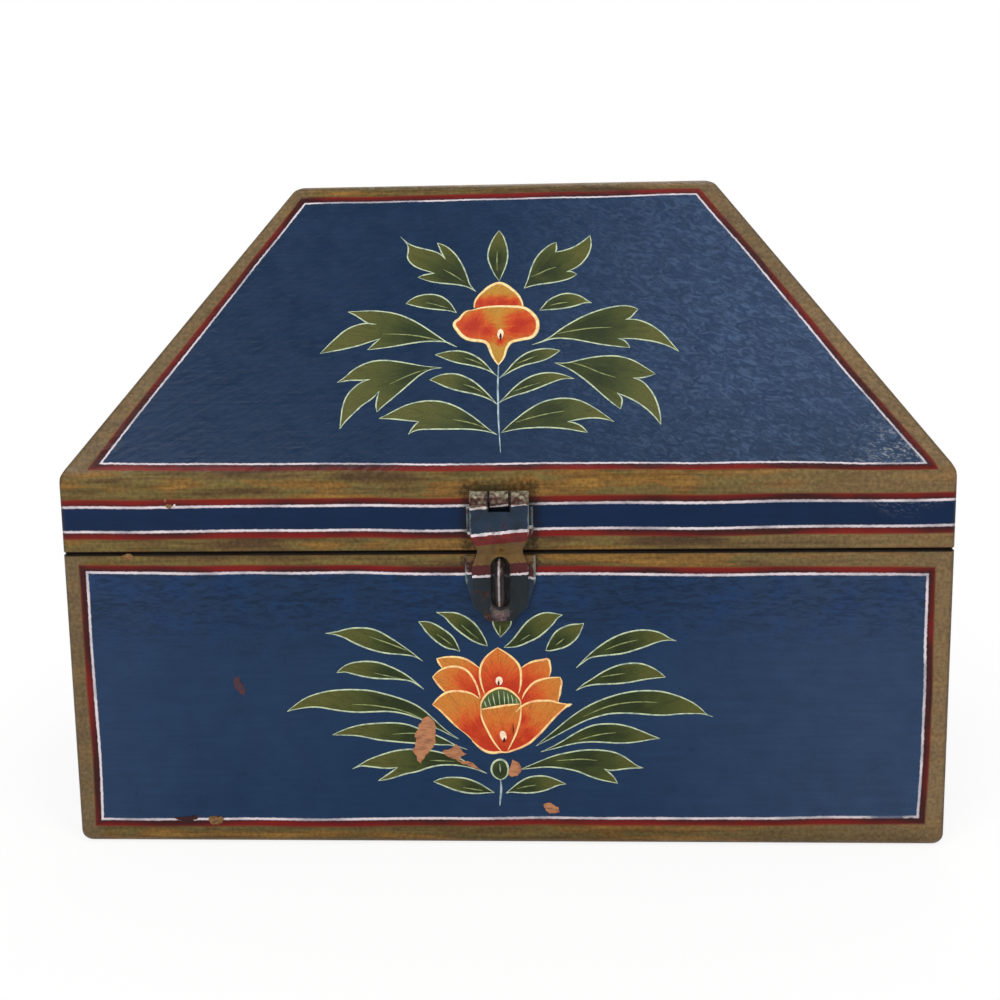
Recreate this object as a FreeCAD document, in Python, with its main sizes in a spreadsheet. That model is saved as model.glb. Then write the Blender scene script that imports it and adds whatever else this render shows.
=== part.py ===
import FreeCAD, Part
import os
import re
import Sketcher

# A painted wooden storage box: a low case and a tall hipped lid with a flat top, hinged at the
# back and held shut by a sheet iron hasp over a staple.
# Millimetres. X runs along the front, Y into the depth, Z up. The origin is the middle of the
# case's underside, and the front faces -Y.

SIZES = {
    # the case
    "case_width": 350,
    "case_depth": 240,
    "case_height": 122,
    "board": 9,
    "base_board": 9,
    # the lid: an upright band of rails, sloping boards above it and a flat top
    "lid_band": 31,
    "lid_rise": 113,
    "lid_inset": 84.5,
    "top_board": 9,
    # worn and planed edges
    "corner_round": 2.5,
    "foot_round": 5,
    "seam_ease": 0.8,
    "arris_round": 16,
    "hip_round": 3,
    "top_round": 8,
    # square cut nails in the boards, punched below the surface and stopped
    "nail_head": 2.2,
    "nail_tip": 1.2,
    "nail_length": 22,
    "nail_set": 1,
    "nail_fit": 0.05,
    # sheet iron fittings and their countersunk tacks
    "iron_gauge": 1.4,
    "tack_head": 3.8,
    "tack_length": 8,
    "pin_fit": 0.05,
    "fitting_gap": 0.35,
    "knuckle_gap": 0.5,
    # the hasp on the lid
    "hasp_shift": -0.6,
    "hasp_rise": 21.7,
    "hasp_pin_radius": 1.8,
    "hasp_knuckle": 7.3,
    "hasp_leaf_width": 26,
    "hasp_leaf_margin": 1.8,
    "strap_length": 48.8,
    "strap_step_start": 14.5,
    "strap_step_run": 7.5,
    "strap_bend": 1.2,
    "strap_waist_round": 4,
    "notch_gap": 1.2,
    "slot_width": 7.2,
    "slot_length": 20.5,
    # the staple and its plate on the case
    "staple_drop": 11.4,
    "staple_radius": 2.1,
    "staple_height": 18.4,
    "staple_reach": 12,
    "staple_corner": 4.5,
    "clench_gauge": 2,
    "clench_width": 5,
    "clench_length": 9,
    "staple_plate_width": 27.6,
    "staple_plate_height": 25.5,
    "staple_plate_rise": 10.2,
    # the two butt hinges on the back
    "hinge_spread": 190,
    "hinge_width": 36,
    "hinge_leaf_height": 17,
    "hinge_pin_radius": 1.6,
}

# Everything that follows from the sizes, as text for the sheet's expressions
SLOPE = "(lid_inset / lid_rise)"
LEAN = "atan(lid_inset / lid_rise)"
BOARD_ACROSS = f"(board * sqrt(1 + {SLOPE} ^ 2))"
BAND_TOP = "(case_height + lid_band)"
TOP_UNDERSIDE = "(case_height + lid_band + lid_rise - top_board)"
LID_TOP = "(case_height + lid_band + lid_rise)"
OVERRUN = "(2 * board)"
HASP_BARREL = "(hasp_pin_radius + pin_fit + iron_gauge)"
HASP_STAND = f"({HASP_BARREL} + fitting_gap)"
STRAP_WIDTH = "(3 * hasp_knuckle + 2 * knuckle_gap)"
STRAP_STEP = f"({HASP_STAND} + {HASP_BARREL} - 2 * iron_gauge - fitting_gap)"
STEP_EASE = f"(iron_gauge * tan(atan({STRAP_STEP} / strap_step_run) / 2))"
HASP_AXIS_Z = "(case_height + hasp_rise)"
STAPLE_Z = "(case_height - staple_drop)"
STAPLE_LEG = "(staple_height / 2 - staple_radius)"
HINGE_BARREL = "(hinge_pin_radius + pin_fit + iron_gauge)"
HINGE_STAND = f"({HINGE_BARREL} + fitting_gap)"
HINGE_KNUCKLE = "((hinge_width - 2 * knuckle_gap) / 3)"

# Outlines seen from the front: half widths as shares of the piece's width, and drops as shares
# of its length
STRAP_SHARES = [(0.5, 0.26), (0.389, 0.4), (0.389, 0.44), (0.487, 0.56), (0.45, 0.875), (0.216, 1)]
LEAF_SHARES = [(0.5, 0), (0.5, 0.6), (0.36, 1)]
PLATE_SHARES = [(0.5, 0), (0.5, 0.38), (0.385, 0.82), (0.17, 1)]

# Where the nails stand, as shares of the length that they follow
CORNER_NAIL_SHARES = (0.2, 0.5, 0.8)
RAIL_NAIL_SHARES = (0.25, 0.75)
LONG_NAIL_SHARES = (-0.36, 0, 0.36)
END_NAIL_SHARES = (-0.25, 0.25)
HIP_NAIL_SHARES = (0.22, 0.62)
TOP_NAIL_SHARES = (-0.6, 0.6)
FOOT_NAIL_SHARE = 0.68
TACK_SHARE = 0.31

# Turns of a round piece, which runs along its own Z
UPRIGHT = ((0, 0, 1), "0")
TO_BACK = ((-1, 0, 0), "90")
TO_FRONT = ((1, 0, 0), "90")
TO_RIGHT = ((0, 1, 0), "90")

# Turns of a nail or tack, which is driven along its own Y
NAIL_BACK = ((0, 0, 1), "0")
NAIL_FRONT = ((0, 0, 1), "180")
NAIL_UP = ((1, 0, 0), "90")
NAIL_DOWN = ((-1, 0, 0), "90")

doc = FreeCAD.newDocument("storage_box")
sheet = doc.addObject("Spreadsheet::Sheet", "Sizes")
for row, (alias, size) in enumerate(SIZES.items(), 1):
    sheet.set(f"A{row}", alias)
    sheet.set(f"B{row}", str(size))
    sheet.setAlias(f"B{row}", alias)
doc.recompute()

nodes = []


def bind(item, name, text):
    """Ties a property to an expression in the sheet's names."""
    full = re.sub(r"[a-z_]+", lambda m: f"Sizes.{m[0]}" if m[0] in SIZES else m[0], text)
    item.setExpression(name, full)


def value(text):
    """What an expression in the sheet's names comes to now."""
    found = sheet.evalExpression(text)
    return float(getattr(found, "Value", found))


def place(item, at, turn=UPRIGHT):
    """Puts an item at three expressions, turned about an axis by a fourth."""
    axis, angle = turn
    rotation = FreeCAD.Rotation(FreeCAD.Vector(*axis), value(angle))
    item.Placement = FreeCAD.Placement(FreeCAD.Vector(), rotation)
    for letter, text in zip("xyz", at):
        bind(item, f"Placement.Base.{letter}", text)
    if not angle.isdigit():
        bind(item, "Placement.Rotation.Angle", angle)
    return item


def solid(kind, name, at, turn=UPRIGHT, **sizes):
    """A primitive whose every size is an expression."""
    item = doc.addObject(f"Part::{kind}", name)
    for key, text in sizes.items():
        bind(item, key, text)
    return place(item, at, turn)


def block(name, low, high):
    """A box between two corners given as expressions."""
    spans = [f"({b}) - ({a})" for a, b in zip(low, high)]
    return solid("Box", name, low, Length=spans[0], Width=spans[1], Height=spans[2])


def taper(name, at, turn, start, end, length):
    """A block that narrows along its own Y, from one pair of half widths, X and Z, to another."""
    sizes = {"Ymin": "0", "Ymax": length}
    for letter, near, far in zip("XZ", start, end):
        sizes |= {f"{letter}min": f"-({near})", f"{letter}max": near}
        sizes |= {f"{letter}2min": f"-({far})", f"{letter}2max": far}
    return solid("Wedge", name, at, turn, **sizes)


def joined(name, pieces):
    item = doc.addObject("Part::MultiFuse", name)
    item.Shapes = pieces
    return item


def shared(name, pieces):
    item = doc.addObject("Part::MultiCommon", name)
    item.Shapes = pieces
    return item


def group(name, pieces):
    item = doc.addObject("Part::Compound", name)
    item.Links = pieces
    return item


def without(name, base, tools):
    """The base with every tool cut away."""
    item = doc.addObject("Part::Cut", name)
    item.Base = base
    item.Tool = tools[0] if len(tools) == 1 else group(f"{name}_tools", tools)
    return item


def eased(kind, name, base, size, test):
    """Fillets or chamfers the base's edges that pass a test, by a named size."""
    doc.recompute()
    item = doc.addObject(f"Part::{kind}", name)
    item.Base = base
    numbers = [number for number, edge in enumerate(base.Shape.Edges, 1) if test(edge)]
    item.Edges = [(number, value(size), value(size)) for number in numbers]
    return item


def node(item, name):
    """Names a finished sub-part, which is written to its own file."""
    item.Label = name
    nodes.append(item)
    return item


def along(edge, letter):
    """Whether an edge is straight and parallel to a letter's axis."""
    run = edge.Vertexes[-1].Point - edge.Vertexes[0].Point
    others = [getattr(run, other) for other in "xyz" if other != letter]
    return len(edge.Vertexes) == 2 and max(map(abs, others)) < value("nail_fit")


def level(edge, letter, text):
    """Whether the middle of an edge is at an expression's value along a letter's axis."""
    middle = getattr(edge.BoundBox.Center, letter)
    return abs(middle - value(text)) < value("nail_fit")


# Sketches


def plane(body, role):
    return next(p for p in body.Origin.OriginFeatures if p.Role == role)


def sketch_on(body, role, name):
    sketch = body.newObject("Sketcher::SketchObject", name)
    sketch.AttachmentSupport = (plane(body, role), [""])
    sketch.MapMode = "FlatFace"
    return sketch


def tie(sketch, number, end, across, up):
    """Ties a point of a sketch to two expressions from the sketch's origin."""
    for kind, axis, text in (("DistanceX", -2, across), ("DistanceY", -1, up)):
        size = value(text)
        if size == 0:
            sketch.addConstraint(Sketcher.Constraint("PointOnObject", number, end, axis))
            continue
        found = sketch.addConstraint(Sketcher.Constraint(kind, -1, 1, number, end, size))
        bind(sketch, f"Constraints[{found}]", text)


def outline(sketch, corners):
    """A closed outline of straight sides, every corner tied to the sheet."""
    first = sketch.GeometryCount
    points = [FreeCAD.Vector(value(across), value(up), 0) for across, up in corners]
    for number, point in enumerate(points):
        sketch.addGeometry(Part.LineSegment(point, points[(number + 1) % len(points)]))
    for number, (across, up) in enumerate(corners):
        after = first + (number + 1) % len(points)
        sketch.addConstraint(Sketcher.Constraint("Coincident", first + number, 2, after, 1))
    for number, (across, up) in enumerate(corners):
        tie(sketch, first + number, 1, across, up)


def circle(sketch, radius, across="0", up="0"):
    centre = FreeCAD.Vector(value(across), value(up), 0)
    ring = Part.Circle(centre, FreeCAD.Vector(0, 0, 1), value(radius))
    number = sketch.addGeometry(ring)
    tie(sketch, number, 3, across, up)
    found = sketch.addConstraint(Sketcher.Constraint("Radius", number, value(radius)))
    bind(sketch, f"Constraints[{found}]", radius)


def round_slot(sketch, width, length, up):
    """An upright slot with round ends, its middle on the sketch's upright axis."""
    radius = f"({width}) / 2"
    reach = f"(({length}) - ({width})) / 2"
    size = value(radius)
    ends = [FreeCAD.Vector(0, value(f"{up} {sign} {reach}"), 0) for sign in "+-"]
    half_turn = 3.141592653589793
    for number, centre in enumerate(ends):
        ring = Part.Circle(centre, FreeCAD.Vector(0, 0, 1), size)
        sketch.addGeometry(Part.ArcOfCircle(ring, number * half_turn, (number + 1) * half_turn))
    side = FreeCAD.Vector(size, 0, 0)
    sketch.addGeometry(Part.LineSegment(ends[0] - side, ends[1] - side))
    sketch.addGeometry(Part.LineSegment(ends[1] + side, ends[0] + side))
    for ring, ring_end, line, line_end in ((0, 2, 2, 1), (2, 2, 1, 1), (1, 2, 3, 1), (3, 2, 0, 1)):
        sketch.addConstraint(Sketcher.Constraint("Tangent", ring, ring_end, line, line_end))
    sketch.addConstraint(Sketcher.Constraint("Equal", 0, 1))
    found = sketch.addConstraint(Sketcher.Constraint("Radius", 0, size))
    bind(sketch, f"Constraints[{found}]", radius)
    for number, sign in enumerate("+-"):
        tie(sketch, number, 3, "0", f"{up} {sign} {reach}")


def pad(body, sketch, name, length, side="Symmetric"):
    item = body.newObject("PartDesign::Pad", name)
    item.Profile = sketch
    item.SideType = side
    bind(item, "Length", length)
    return item


def pocket(body, sketch, name, length):
    """Cuts a sketch through, to both sides of its plane."""
    item = body.newObject("PartDesign::Pocket", name)
    item.Profile = sketch
    item.SideType = "Symmetric"
    bind(item, "Length", length)
    return item


def soften(body, name, radius, test):
    """Rounds the edges of the body's last feature that pass a test."""
    doc.recompute()
    last = body.Tip
    names = [f"Edge{n}" for n, edge in enumerate(last.Shape.Edges, 1) if test(edge)]
    item = body.newObject("PartDesign::Fillet", name)
    item.Base = (last, names)
    bind(item, "Radius", radius)
    return item


# Nails and tacks. Each has a hole of its own, a little wider, to cut what it passes through.


def square_taper(name, at, turn, head, tip, length):
    return taper(name, at, turn, [f"({head}) / 2"] * 2, [f"({tip}) / 2"] * 2, length)


def nail_and_hole(name, at, turn):
    nail = square_taper(name, at, turn, "nail_head", "nail_tip", "nail_length")
    fit = "2 * nail_fit"
    sizes = (f"nail_head + {fit}", f"nail_tip + {fit}", "nail_length")
    return nail, square_taper(f"{name}_hole", at, turn, *sizes)


def open_nail_and_hole(name, at, turn):
    """A nail driven up from the underside, its head left in sight in a shallow recess."""
    nail, hole = nail_and_hole(name, at, turn)
    x, y, z = at
    side = "(nail_head / 2 + nail_fit)"
    low = (f"({x}) - {side}", f"({y}) - {side}", "0")
    recess = block(f"{name}_recess", low, (f"({x}) + {side}", f"({y}) + {side}", z))
    return nail, joined(f"{name}_open_hole", [hole, recess])


def tack_and_hole(name, at, turn):
    """A tack whose head fills a countersink in the iron."""
    made = []
    for part, fit in (("", "0"), ("_hole", "2 * nail_fit")):
        head, neck = f"tack_head + {fit}", f"nail_head + {fit}"
        pieces = [
            square_taper(f"{name}{part}_head", at, turn, head, neck, "iron_gauge"),
            square_taper(f"{name}{part}_shank", at, turn, neck, f"nail_tip + {fit}", "tack_length"),
        ]
        made.append(joined(f"{name}{part}_whole", pieces))
    return made


def fasteners(name, maker, places):
    """A node of separate nails or tacks, and the group of their holes."""
    made = [maker(f"{name}_{number}", at, turn) for number, (at, turn) in enumerate(places, 1)]
    node(group(name, [nail for nail, hole in made]), name)
    return group(f"{name}_holes", [hole for nail, hole in made])


def hip_inward(drop):
    """How far in from the band the outer slope has come, a height above the band."""
    return f"({SLOPE} * ({drop}))"


def corner_pairs(x, y, z):
    """Nails at four corners, through the front and the back and into the ends."""
    places = []
    for sign in ("-", ""):
        places.append(((f"{sign}{x}", f"-{y}", z), NAIL_BACK))
        places.append(((f"{sign}{x}", y, z), NAIL_FRONT))
    return places


def case_nail_places():
    """Corner nails through the front and back into the ends, and nails up through the base."""
    x = "(case_width / 2 - board / 2)"
    y = "(case_depth / 2 - nail_set)"
    corner = []
    for share in CORNER_NAIL_SHARES:
        corner += corner_pairs(x, y, f"base_board + (case_height - base_board) * {share}")

    rim = "(case_depth / 2 - board / 2)"
    base = []
    for sign in ("-", ""):
        for share in LONG_NAIL_SHARES:
            base.append(((f"case_width * {share}", f"{sign}{rim}", "nail_set"), NAIL_UP))
        for share in END_NAIL_SHARES:
            base.append(((f"{sign}{x}", f"case_depth * {share}", "nail_set"), NAIL_UP))
    return corner, base


def lid_nail_places():
    """Nails at the rails' corners, the slopes' feet, the hips and the top board."""
    x = "(case_width / 2 - board / 2)"
    y = "(case_depth / 2 - nail_set)"
    rails = []
    for share in RAIL_NAIL_SHARES:
        rails += corner_pairs(x, y, f"case_height + lid_band * {share}")

    into = f"(board * {FOOT_NAIL_SHARE})"
    foot_z = f"{BAND_TOP} + ({into} - nail_head / 2) / {SLOPE} - nail_set"
    feet = []
    for sign in ("-", ""):
        for share in LONG_NAIL_SHARES:
            at = (f"case_width * {share}", f"{sign}(case_depth / 2 - {into})", foot_z)
            feet.append((at, NAIL_DOWN))
        feet.append(((f"{sign}(case_width / 2 - {into})", "0", foot_z), NAIL_DOWN))

    hips = []
    for share in HIP_NAIL_SHARES:
        inward = hip_inward(f"lid_rise * {share}")
        hip_x = f"(case_width / 2 - {inward} - {BOARD_ACROSS} / 2)"
        hip_y = f"(case_depth / 2 - {inward} - nail_head / 2 * {SLOPE} - nail_set)"
        hips += corner_pairs(hip_x, hip_y, f"{BAND_TOP} + lid_rise * {share}")

    inward = f"(lid_inset - {SLOPE} * nail_set + {BOARD_ACROSS} / 2)"
    top_y = f"(case_depth / 2 - {inward})"
    top_z = f"{LID_TOP} - nail_set"
    tops = []
    for share in TOP_NAIL_SHARES:
        across = f"(case_width / 2 - lid_inset) * {share}"
        tops.append(((across, f"-{top_y}", top_z), ((-1, 0, 0), f"90 deg + {LEAN}")))
        tops.append(((across, top_y, top_z), ((-1, 0, 0), f"90 deg - {LEAN}")))
    return rails, feet, hips, tops


# The case


def case_form():
    """The outside of the case with its rounded edges, before it is cut into boards."""
    half_x, half_y = "case_width / 2", "case_depth / 2"
    whole = block("case_block", (f"-{half_x}", f"-{half_y}", "0"), (half_x, half_y, "case_height"))
    form = eased("Fillet", "case_corners", whole, "corner_round", lambda e: along(e, "z"))
    form = eased("Fillet", "case_foot", form, "foot_round", lambda e: level(e, "z", "0"))
    at_seam = lambda e: level(e, "z", "case_height")
    return eased("Chamfer", "case_outside", form, "seam_ease", at_seam)


def wall_spans(front, back, left, right):
    """Four walls in plan: the front and back run past the ends, which stand between them."""
    half_x, half_y = "case_width / 2", "case_depth / 2"
    inner_x, inner_y = f"({half_x} - board)", f"({half_y} - board)"
    return {
        front: ((f"-{half_x}", f"-{half_y}"), (half_x, f"-{inner_y}")),
        back: ((f"-{half_x}", inner_y), (half_x, half_y)),
        left: ((f"-{half_x}", f"-{inner_y}"), (f"-{inner_x}", inner_y)),
        right: ((inner_x, f"-{inner_y}"), (half_x, inner_y)),
    }


def boards(form, spans, low_z, high_z, holes_of):
    """Cuts boards out of a form by their spans in plan, and bores them for their nails."""
    for name, (low, high) in spans.items():
        blank = block(f"{name}_blank", (*low, low_z), (*high, high_z))
        node(without(name, shared(f"{name}_whole", [form, blank]), holes_of[name]), name)


def case_boards(holes_of):
    form = case_form()
    floor = {"bottom_board": (("-case_width / 2", "-case_depth / 2"), ("case_width / 2", "case_depth / 2"))}
    boards(form, floor, "0", "base_board", holes_of)
    walls = wall_spans("front_board", "back_board", "left_end_board", "right_end_board")
    boards(form, walls, "base_board", "case_height", holes_of)


# The lid


def hipped_block(name, half_x, half_y):
    """A block with four sloping sides, given by its half sizes at the height of the band's top."""
    spread = hip_inward("lid_band")
    foot = [f"{half} + {spread}" for half in (half_x, half_y)]
    crown = [f"{half} - lid_inset" for half in (half_x, half_y)]
    at = ("0", "0", "case_height")
    return taper(name, at, NAIL_UP, foot, crown, "lid_band + lid_rise")


def lid_form():
    """The outside of the lid: a hipped form on an upright band, with all its edges rounded."""
    half_x, half_y = "case_width / 2", "case_depth / 2"
    hipped = hipped_block("hipped_block", half_x, half_y)
    is_hip = lambda e: e.BoundBox.ZLength > value("lid_rise")
    hipped = eased("Fillet", "hipped_outside", hipped, "hip_round", is_hip)

    low, high = (f"-{half_x}", f"-{half_y}", "case_height"), (half_x, half_y, LID_TOP)
    upright = block("band_block", low, high)
    upright = eased("Fillet", "band_corners", upright, "corner_round", lambda e: along(e, "z"))
    at_seam = lambda e: level(e, "z", "case_height")
    upright = eased("Chamfer", "band_outside", upright, "seam_ease", at_seam)

    gables = []
    for name, half, role, other, letter in (
        ("long", half_x, "XZ_Plane", "case_depth", "y"),
        ("short", half_y, "YZ_Plane", "case_width", "x"),
    ):
        body = doc.addObject("PartDesign::Body", f"{name}_section")
        sketch = sketch_on(body, role, f"{name}_section_sketch")
        corners = [
            (f"-{half}", "case_height"),
            (half, "case_height"),
            (half, BAND_TOP),
            (f"{half} - lid_inset", LID_TOP),
            (f"-({half} - lid_inset)", LID_TOP),
            (f"-{half}", BAND_TOP),
        ]
        outline(sketch, corners)
        pad(body, sketch, f"{name}_section_pad", f"{other} + {OVERRUN}")
        for edge, height in (("arris", BAND_TOP), ("top", LID_TOP)):
            test = lambda e, z=height: along(e, letter) and level(e, "z", z)
            soften(body, f"{name}_{edge}_edge", f"{edge}_round", test)
        gables.append(body)
    return shared("lid_outside", [hipped, upright, *gables])


def quarter(name, along_x, sign):
    """What lies on one side of the two mitre planes beside it, seen from above."""
    length, width = ("case_width", "case_depth") if along_x else ("case_depth", "case_width")
    depth = f"(lid_inset + {BOARD_ACROSS} + board)"
    body = doc.addObject("PartDesign::Body", f"{name}_quarter")
    sketch = sketch_on(body, "XY_Plane", f"{name}_quarter_sketch")
    corners = [
        (f"-({length} / 2)", f"{sign}({width} / 2)"),
        (f"{length} / 2", f"{sign}({width} / 2)"),
        (f"{length} / 2 - {depth}", f"{sign}({width} / 2 - {depth})"),
        (f"-({length} / 2 - {depth})", f"{sign}({width} / 2 - {depth})"),
    ]
    if not along_x:
        corners = [(up, across) for across, up in corners]
    outline(sketch, corners)
    pad(body, sketch, f"{name}_quarter_pad", LID_TOP, "One side")
    return body


def lid_boards(holes_of):
    form = lid_form()
    rails = wall_spans("lid_front_rail", "lid_back_rail", "lid_left_rail", "lid_right_rail")
    boards(form, rails, "case_height", BAND_TOP, holes_of)

    inner = [f"({size} / 2 - {BOARD_ACROSS})" for size in ("case_width", "case_depth")]
    hollow = hipped_block("lid_hollow", *inner)
    low, high = ("-case_width / 2", "-case_depth / 2"), ("case_width / 2", "case_depth / 2")
    band = block("slopes_band", (*low, BAND_TOP), (*high, TOP_UNDERSIDE))
    slopes = shared("slopes_outside", [form, band])
    slopes = without("slopes_whole", slopes, [hollow])
    for name, along_x, sign in (
        ("lid_front_slope", True, "-"),
        ("lid_back_slope", True, ""),
        ("lid_left_slope", False, "-"),
        ("lid_right_slope", False, ""),
    ):
        slope = shared(f"{name}_whole", [slopes, quarter(name, along_x, sign)])
        node(without(name, slope, holes_of[name]), name)
    boards(form, {"lid_top_board": (low, high)}, TOP_UNDERSIDE, LID_TOP, holes_of)


# The hasp, modelled about its pin


def hasp_body(name):
    body = doc.addObject("PartDesign::Body", name)
    place(body, ("hasp_shift", f"-(case_depth / 2 + {HASP_STAND})", HASP_AXIS_Z))
    return body


def face_form(name, side):
    """What a fitting covers seen from the front. side runs down its right edge."""
    body = hasp_body(f"{name}_face")
    sketch = sketch_on(body, "XZ_Plane", f"{name}_face_sketch")
    outline(sketch, side + [(f"-{across}", up) for across, up in reversed(side)])
    pad(body, sketch, f"{name}_face_pad", f"4 * {HASP_BARREL}")
    return body


def side_form(name, side, width):
    """The sheet seen from its end, with the barrel that it rolls into and the pin's bore."""
    body = hasp_body(f"{name}_side")
    sketch = sketch_on(body, "YZ_Plane", f"{name}_barrel_sketch")
    circle(sketch, HASP_BARREL)
    pad(body, sketch, f"{name}_barrel", width)
    sketch = sketch_on(body, "YZ_Plane", f"{name}_side_sketch")
    outline(sketch, side)
    pad(body, sketch, f"{name}_sheet", width)
    return body


def bored(body, name):
    sketch = sketch_on(body, "YZ_Plane", f"{name}_sketch")
    circle(sketch, "hasp_pin_radius + pin_fit")
    pocket(body, sketch, name, f"2 * {STRAP_WIDTH}")


def hasp_strap():
    """A strap rolled round the pin, stepped in behind the seam and slotted for the staple."""
    start, stop = "-strap_step_start", "-(strap_step_start + strap_step_run)"
    front, step = f"-{HASP_BARREL}", f"({STRAP_STEP} - {HASP_BARREL})"
    back, back_step = f"({front} + iron_gauge)", f"({step} + iron_gauge)"
    corners = [
        (front, "0"),
        (front, start),
        (step, stop),
        (step, "-strap_length"),
        (back_step, "-strap_length"),
        (back_step, f"{stop} + {STEP_EASE}"),
        (back, f"{start} + {STEP_EASE}"),
        (back, "0"),
    ]
    side = side_form("strap", corners, STRAP_WIDTH)
    bends = (start, stop, f"{stop} + {STEP_EASE}", f"{start} + {STEP_EASE}")
    is_bend = lambda e: along(e, "x") and any(level(e, "z", z) for z in bends)
    soften(side, "strap_bends", "strap_bend", is_bend)
    bored(side, "strap_bore")

    corners = [(f"({STRAP_WIDTH} / 2)", f"2 * {HASP_BARREL}")]
    corners += [(f"({STRAP_WIDTH} * {w})", f"-(strap_length * {d})") for w, d in STRAP_SHARES]
    face = face_form("strap", corners)
    waist = [f"-(strap_length * {d})" for w, d in STRAP_SHARES[1:4]]
    is_waist = lambda e: along(e, "y") and any(level(e, "z", z) for z in waist)
    soften(face, "strap_waist", "strap_waist_round", is_waist)
    sketch = sketch_on(face, "XZ_Plane", "strap_slot_sketch")
    round_slot(sketch, "slot_width", "slot_length", "-(hasp_rise + staple_drop)")
    pocket(face, sketch, "strap_slot", f"5 * {HASP_BARREL}")
    notch = "(hasp_knuckle / 2 + knuckle_gap)"
    low, high = f"-({HASP_BARREL} + notch_gap)", f"3 * {HASP_BARREL}"
    sketch = sketch_on(face, "XZ_Plane", "strap_notch_sketch")
    outline(sketch, [(f"-{notch}", low), (notch, low), (notch, high), (f"-{notch}", high)])
    pocket(face, sketch, "strap_notch", f"5 * {HASP_BARREL}")
    node(shared("hasp_strap", [side, face]), "hasp_strap")


def hasp_leaf(tack_holes):
    """The leaf on the lid's front rail, with the one knuckle between the strap's two."""
    wall, front = HASP_STAND, f"({HASP_STAND} - iron_gauge)"
    top, low = f"-{HASP_STAND}", "-(hasp_rise - hasp_leaf_margin)"
    corners = [(front, low), (wall, low), (wall, "0"), (front, "0")]
    side = side_form("leaf", corners, "hasp_leaf_width")
    bored(side, "leaf_bore")

    height = f"(hasp_rise - hasp_leaf_margin - {HASP_STAND})"
    corners = [("(hasp_knuckle / 2)", f"2 * {HASP_BARREL}"), ("(hasp_knuckle / 2)", top)]
    corners += [(f"(hasp_leaf_width * {w})", f"{top} - {height} * {d}") for w, d in LEAF_SHARES]
    face = face_form("leaf", corners)
    whole = shared("hasp_leaf_whole", [side, face])
    node(without("hasp_fixed_leaf", whole, [tack_holes]), "hasp_fixed_leaf")


def staple_solids():
    """The staple's round bar, its legs through the front board, turned down and hammered flat."""
    front = "(-(case_depth / 2) - staple_reach + staple_radius)"
    inside = "(board - case_depth / 2)"
    bend = f"({front} + staple_corner)"
    wire = {"Radius": "staple_radius"}
    straight = f"2 * ({STAPLE_LEG} - staple_corner)"
    low = f"{STAPLE_Z} - ({STAPLE_LEG} - staple_corner)"
    pieces = [solid("Cylinder", "staple_bar", ("hasp_shift", front, low), Height=straight, **wire)]
    for name, sign, turn in (("upper", "+", 90), ("lower", "-", 180)):
        leg_z = f"({STAPLE_Z} {sign} {STAPLE_LEG})"
        length = f"{inside} - {bend} + clench_gauge"
        leg = solid("Cylinder", f"{name}_leg", ("hasp_shift", bend, leg_z), TO_BACK, Height=length, **wire)
        at = ("hasp_shift", bend, f"{STAPLE_Z} {sign} ({STAPLE_LEG} - staple_corner)")
        low = ("hasp_shift - clench_width / 2", inside, f"{leg_z} - clench_length")
        far = f"{inside} + clench_gauge"
        high = ("hasp_shift + clench_width / 2", far, f"{leg_z} + staple_radius")
        clench = block(f"{name}_clench", low, high)
        pieces += [leg, elbow(f"{name}_corner", at, "staple_corner", turn), clench]
    return pieces


def elbow(name, at, radius, start):
    """A quarter bend of the wire in the plane of Y and Z. start turns it about X, in degrees."""
    item = doc.addObject("Part::Torus", name)
    bind(item, "Radius1", radius)
    bind(item, "Radius2", "staple_radius")
    item.Angle3 = 90
    upright = FreeCAD.Rotation(FreeCAD.Vector(1, 1, 1), 120)
    turned = FreeCAD.Rotation(FreeCAD.Vector(1, 0, 0), start)
    item.Placement = FreeCAD.Placement(FreeCAD.Vector(), turned.multiply(upright))
    for letter, text in zip("xyz", at):
        bind(item, f"Placement.Base.{letter}", text)
    return item


def staple_and_plate(tack_holes):
    """The staple, its leg holes, and the pointed plate that it passes through."""
    node(joined("staple", staple_solids()), "staple")
    legs = []
    for name, sign in (("upper", "+"), ("lower", "-")):
        at = ("hasp_shift", f"-(case_depth / 2 + {OVERRUN} / 2)", f"{STAPLE_Z} {sign} {STAPLE_LEG}")
        sizes = {"Radius": "staple_radius + nail_fit", "Height": f"2 * {OVERRUN}"}
        legs.append(solid("Cylinder", f"{name}_leg_hole", at, TO_BACK, **sizes))
    leg_holes = group("staple_leg_holes", legs)

    body = doc.addObject("PartDesign::Body", "staple_plate_body")
    place(body, ("hasp_shift", "-(case_depth / 2)", f"{STAPLE_Z} + staple_plate_rise"))
    sketch = sketch_on(body, "XZ_Plane", "plate_sketch")
    width, height = "staple_plate_width", "staple_plate_height"
    side = [(f"({width} * {w})", f"-({height} * {d})") for w, d in PLATE_SHARES]
    outline(sketch, side + [(f"-{across}", up) for across, up in reversed(side)])
    pad(body, sketch, "plate_pad", "iron_gauge", "One side")
    node(without("staple_plate", body, [leg_holes, tack_holes]), "staple_plate")
    return leg_holes


# The butt hinges on the back


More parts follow.
